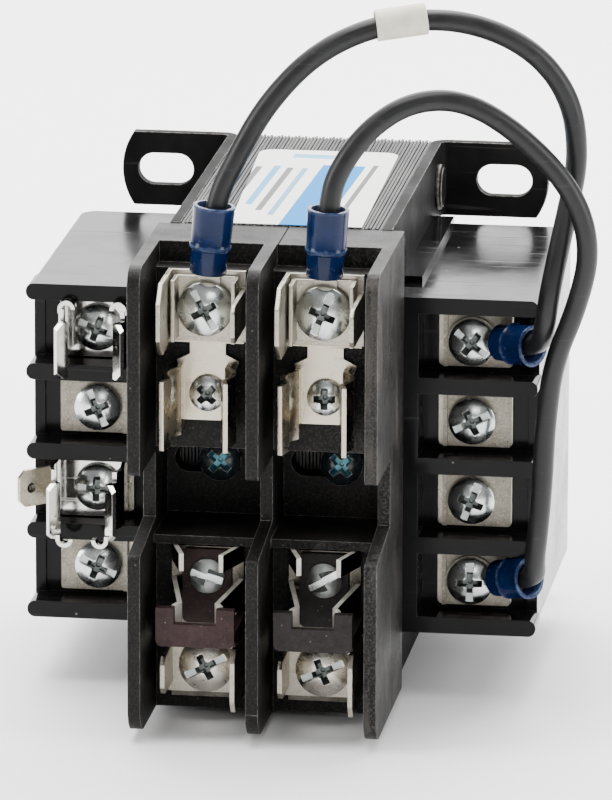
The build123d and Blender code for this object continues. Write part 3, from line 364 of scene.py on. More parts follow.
finishes = {
    "coreSteel": {"colour": (0.085, 0.085, 0.088), "worn": (0.15, 0.149, 0.146), "rough": 0.7,
                  "roughWorn": 0.85, "metal": 0.1, "specular": 0.08, "grain": 1100, "patch": 190,
                  "bump": 0.25, "stretch": (1, 0.25, 1), "rubAndGlintTone": (0.32, 0.31, 0.3), "rubAndGlintAmount": 0.5},
    # coreFrontShade: painted shade, a darker copy of the core steel for the laminations' forward faces
    "coreFrontShade": {"colour": (0.02, 0.019, 0.018), "worn": (0.045, 0.043, 0.04), "rough": 0.42,
                    "roughWorn": 0.6, "metal": 0.4, "grain": 1100, "patch": 190, "bump": 0.25,
                    "rubAndGlintTone": (0.08, 0.076, 0.07), "rubAndGlintAmount": 0.5},
    "blackPaint": {"colour": (0.0045, 0.0044, 0.0048), "worn": (0.014, 0.0134, 0.013), "rough": 0.4,
                   "roughWorn": 0.6, "specular": 0.02, "grain": 500, "patch": 70, "bump": 0.1,
                   "rubAndGlintTone": (0.36, 0.34, 0.32), "rubAndGlintAmount": 0.9, "rubScale": 500,
                   "scuffTone": (0.06, 0.057, 0.054), "scuffAmount": 0.5,
                   "speckTone": (0.3, 0.285, 0.265), "speckScale": 420, "speckShare": 0.05,
                   "speckSize": 0.2},
    "glossMoulding": {"colour": (0.0035, 0.0034, 0.0036), "worn": (0.007, 0.0068, 0.007), "rough": 0.1,
                      "roughWorn": 0.24, "specular": 0.11, "grain": 350, "patch": 55, "bump": 0.05,
                      "rubAndGlintTone": (0.05, 0.048, 0.047), "rubAndGlintAmount": 0.7, "rubScale": 420,
                      "scuffTone": (0.03, 0.03, 0.031), "scuffAmount": 0.35,
                      "speckTone": (0.14, 0.13, 0.12), "speckScale": 520, "speckShare": 0.03,
                      "speckSize": 0.11},
    "texturedMoulding": {"colour": (0.0038, 0.0034, 0.0032), "worn": (0.007, 0.0064, 0.006),
                         "rough": 0.42, "roughWorn": 0.58, "specular": 0.13, "grain": 2300, "patch": 110,
                         "bump": 0.6, "bumpDepth": 0.0002, "pebbleTone": (0.02, 0.0185, 0.017),
                         "pebbleSpan": (0.48, 0.66), "streakTone": (0.1, 0.09, 0.081),
                         "wornFrom": (0.004, 0.026), "rubbedTone": (0.048, 0.044, 0.042),
                         "parting": (0.00115, 0.0014), "partingOver": 0.0396,
                         "rubAndGlintTone": (0.2, 0.19, 0.18), "rubAndGlintAmount": 1.0, "rubScale": 1500,
                         "speckTone": (0.06, 0.056, 0.052), "speckScale": 1300, "speckShare": 0.05,
                         "speckSize": 0.22},
    "nickelPlate": {"colour": (0.29, 0.265, 0.215), "worn": (0.46, 0.43, 0.365), "rough": 0.26,
                    "roughWorn": 0.44, "metal": 1.0, "grain": 2600, "patch": 380, "bump": 0.4,
                    "pebbleTone": (0.55, 0.515, 0.44), "rubAndGlintTone": (0.78, 0.75, 0.68), "rubAndGlintAmount": 0.8,
                    "speckTone": (0.12, 0.105, 0.085), "speckScale": 1100, "speckShare": 0.1,
                    "speckSize": 0.14},
    "clampPlate": {"colour": (0.19, 0.17, 0.135), "worn": (0.34, 0.315, 0.265), "rough": 0.42,
                   "roughWorn": 0.58, "metal": 0.9, "grain": 2600, "patch": 420, "bump": 0.5,
                   "pebbleTone": (0.5, 0.465, 0.4), "rubAndGlintTone": (0.78, 0.75, 0.68), "rubAndGlintAmount": 0.8,
                   "speckTone": (0.08, 0.07, 0.055), "speckScale": 1500, "speckShare": 0.16,
                   "speckSize": 0.18},
    "springPlate": {"colour": (0.4, 0.355, 0.28), "worn": (0.56, 0.51, 0.42), "rough": 0.2,
                    "roughWorn": 0.36, "metal": 1.0, "grain": 900, "patch": 200, "bump": 0.08,
                    "rubAndGlintTone": (0.8, 0.77, 0.7), "rubAndGlintAmount": 0.8, "scuffTone": (0.26, 0.235, 0.195),
                    "scuffAmount": 0.5},
    # shadedPlate: near-black plating as painted shade, for the load clips deep in the block's well and the
    # hollow of the tab dimple
    "shadedPlate": {"colour": (0.05, 0.044, 0.036), "worn": (0.13, 0.118, 0.098), "rough": 0.14,
                       "roughWorn": 0.3, "metal": 1.0, "grain": 900, "patch": 260, "bump": 0.08,
                       "rubAndGlintTone": (0.85, 0.82, 0.74), "rubAndGlintAmount": 1.6, "rubScale": 300,
                       "scuffTone": (0.26, 0.24, 0.2), "scuffAmount": 0.6},
    # litFaceMetal: painted light, a light bare-metal colour for the load clips' faces that look up or forward
    "litFaceMetal": {"colour": (0.6, 0.56, 0.48), "worn": (0.8, 0.77, 0.69), "rough": 0.4, "roughWorn": 0.6,
                "metal": 0.35, "grain": 1400, "patch": 500, "bump": 0.1, "rubAndGlintTone": (0.9, 0.88, 0.82),
                "rubAndGlintAmount": 0.8},
    "polishedPlate": {"colour": (0.58, 0.57, 0.54), "worn": (0.68, 0.67, 0.64), "rough": 0.06,
                      "roughWorn": 0.18, "metal": 1.0, "grain": 900, "patch": 240, "bump": 0.06,
                      "rubAndGlintTone": (0.85, 0.84, 0.8), "rubAndGlintAmount": 0.8, "scuffTone": (0.36, 0.345, 0.31),
                      "scuffAmount": 0.5},
    "zincPlate": {"colour": (0.5, 0.53, 0.52), "worn": (0.7, 0.725, 0.71), "rough": 0.17,
                  "roughWorn": 0.32, "metal": 1.0, "grain": 1400, "patch": 300, "bump": 0.08,
                  "rubAndGlintTone": (0.85, 0.87, 0.85), "rubAndGlintAmount": 0.9, "speckTone": (0.2, 0.22, 0.2),
                  "speckScale": 1200, "speckShare": 0.08, "speckSize": 0.18},
    "warmPlate": {"colour": (0.57, 0.53, 0.46), "worn": (0.76, 0.72, 0.65), "rough": 0.22,
                  "roughWorn": 0.36, "metal": 1.0, "grain": 1400, "patch": 300, "bump": 0.08,
                  "rubAndGlintTone": (0.87, 0.85, 0.8), "rubAndGlintAmount": 0.9, "speckTone": (0.22, 0.19, 0.15),
                  "speckScale": 1200, "speckShare": 0.1, "speckSize": 0.18},
    "zincSlot": {"colour": (0.34, 0.365, 0.355), "worn": (0.52, 0.545, 0.53), "rough": 0.36,
                 "roughWorn": 0.5, "metal": 1.0, "grain": 1800, "patch": 600, "bump": 0.2,
                 "rubAndGlintTone": (0.85, 0.87, 0.85), "rubAndGlintAmount": 0.9},
    # zincShadedRecess: darker zinc as painted shade in the screws' cross, pit and ramp recesses
    "zincShadedRecess": {"colour": (0.08, 0.092, 0.088), "worn": (0.2, 0.22, 0.21), "rough": 0.4,
                   "roughWorn": 0.55, "metal": 1.0, "grain": 1800, "patch": 500, "bump": 0.2,
                   "rubAndGlintTone": (0.8, 0.83, 0.81), "rubAndGlintAmount": 1.0},
    # darkPlate: black screw heads; their near-white rounded edges are painted glints
    "darkPlate": {"colour": (0.006, 0.008, 0.009), "worn": (0.02, 0.027, 0.03), "rough": 0.14,
                  "roughWorn": 0.3, "metal": 0.2, "specular": 0.6, "grain": 1500, "patch": 300,
                  "bump": 0.06, "rubAndGlintTone": (0.9, 0.95, 0.95), "rubAndGlintAmount": 1.6},
    # tealReflectedRecess: the teal of the cross recess is a painted reflection, with painted glints on its
    # edges
    "tealReflectedRecess": {"colour": (0.02, 0.1, 0.125), "worn": (0.07, 0.22, 0.26), "rough": 0.26,
                   "roughWorn": 0.4, "metal": 0.6, "grain": 1500, "patch": 500, "bump": 0.1,
                   "rubAndGlintTone": (0.9, 0.95, 0.95), "rubAndGlintAmount": 1.5},
    "brownPhenolic": {"colour": (0.022, 0.0115, 0.0115), "worn": (0.04, 0.022, 0.0215), "rough": 0.46,
                      "roughWorn": 0.62, "specular": 0.15, "grain": 1800, "patch": 420, "bump": 0.25,
                      "pebbleTone": (0.05, 0.03, 0.028), "rubAndGlintTone": (0.09, 0.06, 0.055), "rubAndGlintAmount": 0.6,
                      "speckTone": (0.13, 0.09, 0.085), "speckScale": 1500, "speckShare": 0.08,
                      "speckSize": 0.2},
    "darkPhenolic": {"colour": (0.012, 0.0095, 0.009), "worn": (0.024, 0.02, 0.019), "rough": 0.46,
                     "roughWorn": 0.62, "specular": 0.15, "grain": 1800, "patch": 420, "bump": 0.25,
                     "pebbleTone": (0.03, 0.025, 0.024), "rubAndGlintTone": (0.08, 0.065, 0.06), "rubAndGlintAmount": 0.6,
                     "speckTone": (0.11, 0.09, 0.085), "speckScale": 1500, "speckShare": 0.08,
                     "speckSize": 0.2},
    "blueSleeve": {"colour": (0.0018, 0.0076, 0.036), "worn": (0.0038, 0.0138, 0.058), "rough": 0.1,
                   "roughWorn": 0.24, "specular": 0.2, "grain": 700, "patch": 240, "bump": 0.15,
                   "rubAndGlintTone": (0.09, 0.13, 0.24), "rubAndGlintAmount": 0.4, "scuffTone": (0.015, 0.035, 0.1),
                   "scuffAmount": 0.5, "scuffScale": 60},
    "leadJacket": {"colour": (0.006, 0.006, 0.0064), "worn": (0.011, 0.011, 0.0115), "rough": 0.36,
                   "roughWorn": 0.5, "specular": 0.32, "grain": 1400, "patch": 160, "bump": 0.1,
                   "scuffTone": (0.03, 0.03, 0.031), "scuffAmount": 0.5, "scuffScale": 60},
    "markerTape": {"colour": (0.72, 0.68, 0.57), "worn": (0.58, 0.53, 0.42), "rough": 0.5,
                   "roughWorn": 0.66, "grain": 1600, "patch": 240, "bump": 0.1,
                   "rubAndGlintTone": (0.42, 0.37, 0.28), "rubAndGlintAmount": 0.5, "scuffTone": (0.45, 0.4, 0.3),
                   "scuffAmount": 0.4, "scuffScale": 90},
    "enamelledCopper": {"colour": (0.42, 0.16, 0.07), "worn": (0.52, 0.22, 0.1), "rough": 0.3,
                        "roughWorn": 0.42, "metal": 0.9, "grain": 2000, "patch": 120, "bump": 0.3,
                        "stretch": (1, 6, 1)},
    "wrapPaper": {"colour": (0.6, 0.52, 0.36), "worn": (0.52, 0.44, 0.3), "rough": 0.7, "roughWorn": 0.8,
                  "grain": 1200, "patch": 90, "bump": 0.15},
    "labelPaper": {"colour": (0.84, 0.83, 0.81), "worn": (0.78, 0.77, 0.74), "rough": 0.7,
                   "roughWorn": 0.8, "specular": 0.05, "grain": 900, "patch": 130, "bump": 0.05},
}
mats = {name: finishMaterial(name, look) for name, look in finishes.items()}
print("materials:", len(mats))


# shared ways to shape a mesh

def boxMesh(size, at=(0, 0, 0)):
    bm = bmesh.new()
    bmesh.ops.create_cube(bm, size=1)
    bmesh.ops.scale(bm, vec=size, verts=bm.verts)
    shiftMesh(bm, at)
    return bm


def coneMesh(low, top, depth, steps):
    bm = bmesh.new()
    bmesh.ops.create_cone(bm, segments=steps, radius1=low, radius2=top, depth=depth, cap_ends=True)
    return bm


def shiftMesh(bm, by):
    bmesh.ops.translate(bm, vec=by, verts=bm.verts)


def turnMesh(bm, degrees, axis):
    bmesh.ops.rotate(bm, matrix=Matrix.Rotation(math.radians(degrees), 3, axis), verts=bm.verts)


def sharpEdges(bm, angle):
    return [e for e in bm.edges if e.is_manifold and e.calc_face_angle() > math.radians(angle)]


def roundEdges(bm, edges, width, segments=2):
    made = bmesh.ops.bevel(bm, geom=edges, offset=width, segments=segments, profile=0.5, affect="EDGES",
                           clamp_overlap=True, material=-1)
    return made["faces"]


def markEdges(bm, bevelled):  # the wear, and on the block screws the painted glints, in the finishes read this attribute
    worn = bm.verts.layers.float.new("edge")
    fresh = set(bevelled)
    for v in bm.verts:
        if v.link_faces and all(f in fresh for f in v.link_faces):
            v[worn] = 1.0


def smoothShade(ob, angle):
    ob.data.shade_smooth()
    ob.data.set_sharp_from_angle(angle=math.radians(angle))


def evenNormals(ob):
    ob.modifiers.new("evenNormals", "WEIGHTED_NORMAL").keep_sharp = True


def cutAway(ob, cutters):
    for cutter in cutters:
        for material in ob.data.materials:
            cutter.data.materials.append(material)
        cut = ob.modifiers.new("cut", "BOOLEAN")
        cut.operation = "DIFFERENCE"
        cut.solver = "EXACT"
        cut.object = cutter
        bpy.context.view_layer.update()
        done = bpy.data.meshes.new_from_object(ob.evaluated_get(bpy.context.evaluated_depsgraph_get()))
        ob.modifiers.clear()
        ob.data = done
        bpy.data.objects.remove(cutter)


# rounded copies of the CAD nodes, so that edges catch the light and carry their wear

softEdge = {"weld": 2e-6, "flat": 0.8, "sharp": 28, "smooth": 45}
barrierRound = {"front": 101.3, "half": 26, "over": 1.5, "steps": 64,
                "ends": [(-38.6, 1, 4.2), (40.0, -1, 3.4)]}  # level, way inwards, radius


def cornerCutter(level, inward, radius):
    p = barrierRound
    side, shift = radius + p["over"], (radius - p["over"]) / 2
    bm = bmesh.new()
    bmesh.ops.create_cube(bm, size=side)
    bmesh.ops.scale(bm, vec=(2 * p["half"] / side, 1, 1), verts=bm.verts)
    shiftMesh(bm, (0, shift - p["front"], level + inward * shift))
    corner = meshObject("cornerCutter", bm)
    bm = coneMesh(radius, radius, 4 * p["half"], p["steps"])
    turnMesh(bm, 90, "Y")
    shiftMesh(bm, (0, radius - p["front"], level + inward * radius))
    cutAway(corner, [meshObject("cornerRound", bm)])
    return corner


def roundBarriers(bm):  # cut in millimetres, then brought back to metres
    bmesh.ops.scale(bm, vec=(1 / mm, 1 / mm, 1 / mm), verts=bm.verts)
    ob = meshObject("blockBlank", bm)
    cutAway(ob, [cornerCutter(*end) for end in barrierRound["ends"]])
    fresh = bmesh.new()
    fresh.from_mesh(ob.data)
    bpy.data.objects.remove(ob)
    bmesh.ops.scale(fresh, vec=(mm, mm, mm), verts=fresh.verts)
    bmesh.ops.remove_doubles(fresh, verts=fresh.verts, dist=softEdge["weld"])
    return fresh


# the right-hand tab at each load screw is drawn out forward and upward, and its base ends higher
rightTab = {"pole": 9.75, "from": 5.6, "level": -30.5, "half": 3.3, "lift": 0.6, "grow": 1.67, "back": 87.0,
            "ahead": 4.0, "foot": 5.6, "raise": 1.1}


def stretchTab(bm):
    p = rightTab
    for v in bm.verts:
        across, rise = v.co.x / mm - math.copysign(p["pole"], v.co.x), v.co.z / mm - p["level"]
        if across > p["from"] and abs(rise) < p["half"]:
            v.co.z = (p["level"] + p["lift"] + rise * p["grow"]) * mm
            if -v.co.y / mm > p["back"]:
                v.co.y -= p["ahead"] * mm
        elif rise < -p["foot"]:
            v.co.z += p["raise"] * mm
    return bm


reshaped = {"fuse_block": roundBarriers, "load_tabs_left": stretchTab, "load_tabs_right": stretchTab}


def softCopy(node, material, width):
    p = softEdge
    bm = bmesh.new()
    bm.from_mesh(nodes[node].data)
    bmesh.ops.remove_doubles(bm, verts=bm.verts, dist=p["weld"])
    bmesh.ops.dissolve_limit(bm, angle_limit=math.radians(p["flat"]), verts=bm.verts, edges=bm.edges)
    if node in reshaped:
        bm = reshaped[node](bm)
    markEdges(bm, roundEdges(bm, sharpEdges(bm, p["sharp"]), width))
    ob = meshObject(node + ".shown", bm)
    smoothShade(ob, p["smooth"])
    evenNormals(ob)
    ob.data.materials.append(mats[material])
    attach(ob, "root")
    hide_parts(node)
    return ob


softened = {  # finish, width of the rounded edges in metres, nodes
    "texturedMoulding": (0.00035, ["fuse_block"]),
    "glossMoulding": (0.0003, [
        "terminal_strip_left", "terminal_strip_right", "coil_cover_left", "coil_cover_right",
    ]),
    "blackPaint": (0.0004, ["bracket_left", "bracket_right", "core_rivets"]),
    "nickelPlate": (0.00014, [
        "terminal_plates_left", "terminal_plates_right", "push_on_tab",
        "line_tabs_left", "line_tabs_right", "line_saddle_left", "line_saddle_right", "load_tabs_left",
        "load_tabs_right", "lug_line_left", "lug_line_right", "lug_strip_upper", "lug_strip_lower",
    ]),
    "clampPlate": (0.00014, ["wire_clamps_left", "wire_clamps_right"]),
    "polishedPlate": (0.00014, ["strip_clip_upper", "strip_clip_lower"]),
    "springPlate": (0.00014, ["line_clip_left", "line_clip_right"]),
    "shadedPlate": (0.00018, ["load_clip_left", "load_clip_right"]),
    "brownPhenolic": (0.0005, ["rejection_plate_left"]),
    "darkPhenolic": (0.0005, ["rejection_plate_right"]),
    "markerTape": (0.0002, ["wire_marker"]),
}
shown = {}
for material, (width, names) in softened.items():
    for name in names:
        shown[name] = softCopy(name, material, width)

clipLitFaces = {"nodes": ["load_clip_left", "load_clip_right"], "tilt": 0.35, "front": 0.0852}
for name in clipLitFaces["nodes"]:  # painted light: faces that look up or forward, ahead of the well, take a light bare-metal colour over the painted shade of the plate
    clip = shown[name].data
    clip.materials.append(mats["litFaceMetal"])
    for face in clip.polygons:
        facing = face.normal.y < -clipLitFaces["tilt"] or face.normal.z > clipLitFaces["tilt"]
        if facing and -face.center.y > clipLitFaces["front"]:
            face.material_index = 1
print("rounded copies made")

# the coil is out of sight, so its nodes only get a finish
inside = {"enamelledCopper": ["primary_winding", "secondary_winding"], "wrapPaper": ["winding_insulation"],
          "glossMoulding": ["coil_former"]}
for material, names in inside.items():
    for name in names:
        nodes[name].data.materials.clear()
        nodes[name].data.materials.append(mats[material])


# screws, in millimetres with the head towards +Z, cut and then set in their seats

screwKinds = {
    "terminal": {"head": 7.9, "rise": 2.4, "shank": 4.1, "length": 6.4, "drive": ("slot", "cross"),
                 "cross": 5.5},
    "line": {"head": 9.1, "rise": 2.6, "shank": 4.8, "length": 9.5, "drive": ("slot", "cross"),
             "cross": 5.6},
    "lineClip": {"head": 6.0, "rise": 1.9, "shank": 3.4, "length": 7.0, "drive": ("cross",), "cross": 4.7},
    "loadClip": {"head": 6.0, "rise": 1.9, "shank": 3.4, "length": 7.0, "drive": ("slot", "ramps")},
    # the block screws' wider rounded edge carries their painted glints
    "block": {"head": 7.2, "rise": 2.2, "shank": 3.8, "length": 12.0, "drive": ("cross",), "cross": 5.7,
              "edge": 0.26},
}
screwCut = {
    "slotWidth": 1.2, "slotDepth": 0.85, "armWidth": 1.3, "armDepth": 1.6, "armOver": 0.4,
    "armTaper": (0.45, 0.7), "armSkew": 0.01,  # a hair off square, so that no two cutters share a plane
    "pit": (0.3, 1.25), "pitDepth": 2.4, "pitAt": -0.7, "pitSteps": 20, "rampTilt": 30, "rampLap": 0.05,
    "over": 1.0, "dome": 0.48, "domeRings": 9, "lip": 0.18, "brim": [(0.05, 0.1), (0, 0.26)], "under": 0.14,
    "point": 0.4, "steps": 56, "weld": 0.004, "sharp": 34, "edge": 0.06, "smooth": 40,
}
zincScrew = ("zincPlate", "zincShadedRecess", "zincSlot")  # head, recess in painted shade, slot
screwSeats = {  # x, depth in front of the mounting plane, z, turn clockwise
    "terminal_screws_left": ("terminal", zincScrew, [
        (-31.5, 62.5, 20.55, 20), (-31.5, 62.7, 6.85, 65),
        (-31.5, 63.3, -6.85, 2), (-31.5, 62.7, -20.55, 24)]),
    "terminal_screws_right": ("terminal", zincScrew, [
        (31.5, 63.5, 20.55, 37), (31.5, 62.7, 6.85, -26),
        (31.5, 62.7, -6.85, -68), (31.5, 63.5, -20.55, 90)]),
    "line_screws": ("line", zincScrew, [(-9.75, 86.9, 30.5, 60), (9.75, 86.9, 30.5, -67)]),
    "load_screws": ("line", ("warmPlate", "zincShadedRecess", "zincSlot"), [
        (-9.75, 85.4, -30.5, -27), (9.75, 85.4, -30.5, -23)]),
    "line_clip_screws": ("lineClip", zincScrew, [(-9.75, 84.6, 15.6, 45), (9.75, 84.6, 15.6, 0)]),
    "load_clip_screws": ("loadClip", ("zincSlot", "zincShadedRecess", "zincPlate"), [
        (-9.75, 84.6, -15.5, 15), (9.75, 84.6, -15.5, -30)]),
    "block_screws": ("block", ("darkPlate", "tealReflectedRecess"), [(-9.45, 71.8, 1.0, 40), (10.9, 71.8, 1.0, 48)]),
}


def spinProfile(bm, profile, steps, closed=False):
    verts = [bm.verts.new((radius, 0, level)) for radius, level in profile]
    pairs = list(zip(verts, verts[1:])) + ([(verts[-1], verts[0])] if closed else [])
    edges = [bm.edges.new(pair) for pair in pairs]
    bmesh.ops.spin(bm, geom=verts + edges, cent=(0, 0, 0), axis=(0, 0, 1), angle=math.tau, steps=steps,
                   use_merge=True)
    bmesh.ops.remove_doubles(bm, verts=bm.verts, dist=1e-5)
    bmesh.ops.recalc_face_normals(bm, faces=bm.faces)


def screwCutters(kind):
    p = screwCut
    reach = kind["head"] / 2
    cutters = []
    if "slot" in kind["drive"]:
        cutters.append(boxMesh((2 * (reach + p["over"]), p["slotWidth"], 2 * p["slotDepth"])))
    if "cross" in kind["drive"]:
        tall = p["armDepth"] + p["armOver"]
        for turn in (0, 90):
            bm = boxMesh((kind["cross"], p["armWidth"], tall))
            bmesh.ops.scale(bm, vec=(*p["armTaper"], 1), verts=[v for v in bm.verts if v.co.z < 0])
            shiftMesh(bm, (0, 0, p["armOver"] - tall / 2))
            turnMesh(bm, turn + p["armSkew"], "Z")
            cutters.append(bm)
        pit = coneMesh(*p["pit"], p["pitDepth"], p["pitSteps"])
        shiftMesh(pit, (0, 0, p["pitAt"]))
        cutters.append(pit)
    if "ramps" in kind["drive"]:
        for turn in (0, 180):
            long = reach + p["over"]
            bm = boxMesh((long, reach, 2 * p["over"]), (long / 2, reach / 2, p["over"]))
            turnMesh(bm, p["rampTilt"], "X")
            shiftMesh(bm, (0, p["slotWidth"] / 2 - p["rampLap"], -p["slotDepth"]))
            turnMesh(bm, turn, "Z")
            cutters.append(bm)
    for n, bm in enumerate(cutters):
        shiftMesh(bm, (0, 0, kind["rise"]))
        # faces cut by the cross, pit and ramps take the second material: painted shade on the zinc screws, a
        # painted reflection on the block screws
        for face in bm.faces:
            face.material_index = 2 if n == 0 and "slot" in kind["drive"] else 1
    return [meshObject("screwCutter", bm) for bm in cutters]


def screwMesh(kind, materials):
    p = screwCut
    reach, rise = kind["head"] / 2, kind["rise"]
    inner, dome = reach - p["lip"], rise * p["dome"]
    ball = (inner**2 + dome**2) / (2 * dome)
    sweep = math.asin(inner / ball)
    turns = [sweep * n / p["domeRings"] for n in range(p["domeRings"] + 1)]
    profile = [(ball * math.sin(turn), rise - ball + ball * math.cos(turn)) for turn in turns]
    profile += [(reach - back, rise - dome - drop) for back, drop in p["brim"]]
    profile += [(reach, p["under"]), (reach - p["under"], 0)]
    shank, foot, point = kind["shank"] / 2, -kind["length"], p["point"]
    profile += [(shank, 0), (shank, foot + point), (shank - point, foot), (0, foot)]
    bm = bmesh.new()
    spinProfile(bm, profile, p["steps"])
    ob = meshObject("screwBlank", bm)
    for material in materials:
        ob.data.materials.append(mats[material])
    cutAway(ob, screwCutters(kind))
    bm = bmesh.new()
    bm.from_mesh(ob.data)
    bpy.data.objects.remove(ob)
    bmesh.ops.remove_doubles(bm, verts=bm.verts, dist=p["weld"])
    markEdges(bm, roundEdges(bm, sharpEdges(bm, p["sharp"]), kind.get("edge", p["edge"])))
    mesh = bpy.data.meshes.new("screwMesh")
    bm.to_mesh(mesh)
    bm.free()
    return mesh


def seatScrews(node, kind, materials, seats):
    mesh = screwMesh(screwKinds[kind], materials)
    bm = bmesh.new()
    for x, depth, z, turn in seats:
        before = len(bm.verts)
        bm.from_mesh(mesh)
        bm.verts.ensure_lookup_table()
        seat = Matrix.Translation(Vector((x, -depth, z)) * mm) @ Matrix.Rotation(math.radians(90), 4, "X")
        seat = seat @ Matrix.Rotation(math.radians(-turn), 4, "Z") @ Matrix.Scale(mm, 4)
        bmesh.ops.transform(bm, matrix=seat, verts=bm.verts[before:])
    ob = meshObject(node + ".shown", bm)
    smoothShade(ob, screwCut["smooth"])
    evenNormals(ob)
    for material in materials:
        ob.data.materials.append(mats[material])
    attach(ob, "root")
    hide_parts(node)


for node, (kind, materials, seats) in screwSeats.items():
    seatScrews(node, kind, materials, seats)
print("screws seated")


# dimple pressed into the push-on tab

dimple = {
    "inset": 2.4, "radius": 0.87, "depth": 0.62, "wall": 0.1, "angle": 45, "sheet": 0.8, "steps": 32,
    "bowl": [(1, 0), (0.86, 0.3), (0.5, 0.82), (0, 1)],  # shares of the radius and the depth
    "under": [(0.6, 1), (1, 0.4)],
}


def buildDimple(p):
    low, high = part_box("push_on_tab")
    bowl, under = ([(p["radius"] * out, -p["depth"] * down) for out, down in p[k]] for k in ("bowl", "under"))
    bm = bmesh.new()
    spinProfile(bm, bowl + [(0, -p["depth"] - p["wall"])] + under, p["steps"], True)
    lean = math.radians(p["angle"])
    along = Vector((math.cos(lean), math.sin(lean), 0))
    out = Vector((math.sin(lean), -math.cos(lean), 0))
    tip = Vector((low.x, low.y, (low.z + high.z) / 2)) / mm + Vector((p["sheet"] * math.sin(lean), 0, 0))
    middle = tip + along * p["inset"]
    turn = out.to_track_quat("Z", "Y").to_matrix().to_4x4()
    bmesh.ops.transform(bm, matrix=Matrix.Scale(mm, 4) @ Matrix.Translation(middle) @ turn, verts=bm.verts)
    ob = meshObject("tabDimple", bm)
    ob.data.shade_smooth()
    # painted shade: the hollow of the dimple takes the near-black plate
    ob.data.materials.append(mats["shadedPlate"])
    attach(ob, "root")


buildDimple(dimple)
print("dimple pressed")


# pressed tongues that run from the rejection plates up under the one-way screws

tongue = {
    "half": 4.1, "top": -10.9, "low": -23.6, "back": 84.62, "thick": 0.7, "corner": 0.9, "cornerSteps": 4,
    "hole": 3.06, "holeDepth": 6, "holeSteps": 40, "level": -15.5, "sharp": 40, "edge": 0.12,
}
tongueSides = {"left": (-9.75, "brownPhenolic", "brown_phenolic"),
               "right": (9.75, "darkPhenolic", "dark_phenolic")}


def buildTongue(p, side, x, material):
    tall = p["top"] - p["low"]
    bm = boxMesh((2 * p["half"], p["thick"], tall), (0, -p["back"] - p["thick"] / 2, p["low"] + tall / 2))
    corners = [e for e in bm.edges if abs((e.verts[0].co - e.verts[1].co).y) > p["thick"] / 2]
    roundEdges(bm, corners, p["corner"], p["cornerSteps"])
    ob = meshObject("rejectionTongue." + side, bm)
    bm = coneMesh(p["hole"], p["hole"], p["holeDepth"], p["holeSteps"])
    turnMesh(bm, 90, "X")
    shiftMesh(bm, (0, -p["back"], p["level"]))
    cutAway(ob, [meshObject("tongueCutter", bm)])
    bm = bmesh.new()
    bm.from_mesh(ob.data)
    markEdges(bm, roundEdges(bm, sharpEdges(bm, p["sharp"]), p["edge"]))
    bmesh.ops.transform(bm, matrix=Matrix.Translation((x * mm, 0, 0)) @ Matrix.Scale(mm, 4), verts=bm.verts)
    bm.to_mesh(ob.data)
    bm.free()
    ob.data.materials.append(mats[material])
    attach(ob, "root")


for side, (x, material, slot) in tongueSides.items():
    buildTongue(tongue, side, x, material)
print("tongues pressed")


# moulded sleeves on the lugs

sleeveShape = {
    # share of the length, radius in millimetres: up the outside, over the mouth and down the bore
    "rings": [(0.0, 2.9), (0.015, 3.05), (0.3, 3.1), (0.345, 3.12), (0.36, 3.36), (0.38, 3.47), (0.42, 3.47),
              (0.44, 3.36), (0.46, 3.3), (0.7, 3.36), (0.95, 3.43), (0.98, 3.49), (0.995, 3.47), (1.0, 3.36),
              (1.0, 2.86), (0.985, 2.74), (0.52, 2.7), (0.5, 2.42), (0.0, 2.42)],
    "steps": 72, "creases": 5, "creaseDepth": 0.012, "creaseFrom": 0.46, "creaseGrow": 2, "creasePower": 6,
    "skin": 3.0, "rubbed": [(0.37, 0.43), (0.97, 1.01)], "smooth": 50,
}
sleeves = {
    "sleeve_line_left": {"foot": (-9.137, -88.7, 36.871), "tip": (-8.044, -88.7, 48.218), "phase": 0.4},
    "sleeve_line_right": {"foot": (10.085, -88.7, 36.891), "tip": (10.682, -88.7, 48.276), "phase": 1.5},
    "sleeve_strip_upper": {"foot": (36.274, -65.3, 21.052), "tip": (42.309, -69.708, 21.687), "phase": 0.9},
    "sleeve_strip_lower": {"foot": (36.177, -65.3, -19.471), "tip": (42.089, -69.708, -18.105),
                           "phase": 2.2},
}


def buildSleeve(node, sleeve):
    p = sleeveShape
    foot, tip = Vector(sleeve["foot"]), Vector(sleeve["tip"])
    length = (tip - foot).length
    bm = bmesh.new()
    spinProfile(bm, [(radius, share * length) for share, radius in p["rings"]], p["steps"], True)
    worn = bm.verts.layers.float.new("edge")
    for v in bm.verts:
        share = v.co.z / length
        v[worn] = 1.0 if any(low < share < high for low, high in p["rubbed"]) else 0.0
        if share > p["creaseFrom"] and v.co.xy.length > p["skin"]:
            around = math.atan2(v.co.y, v.co.x)
            crease = max(0, math.cos(p["creases"] * around + sleeve["phase"])) ** p["creasePower"]
            pinch = 1 - p["creaseDepth"] * crease * (share - p["creaseFrom"]) * p["creaseGrow"]
            v.co.x *= pinch
            v.co.y *= pinch
    stand = Matrix.Translation(foot * mm) @ (tip - foot).to_track_quat("Z", "Y").to_matrix().to_4x4()
    bmesh.ops.transform(bm, matrix=stand @ Matrix.Scale(mm, 4), verts=bm.verts)
    ob = meshObject(node + ".shown", bm)
    smoothShade(ob, p["smooth"])
    ob.data.materials.append(mats["blueSleeve"])
    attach(ob, "root")
    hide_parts(node)


for node, sleeve in sleeves.items():
    buildSleeve(node, sleeve)
print("sleeves fitted")


# leads

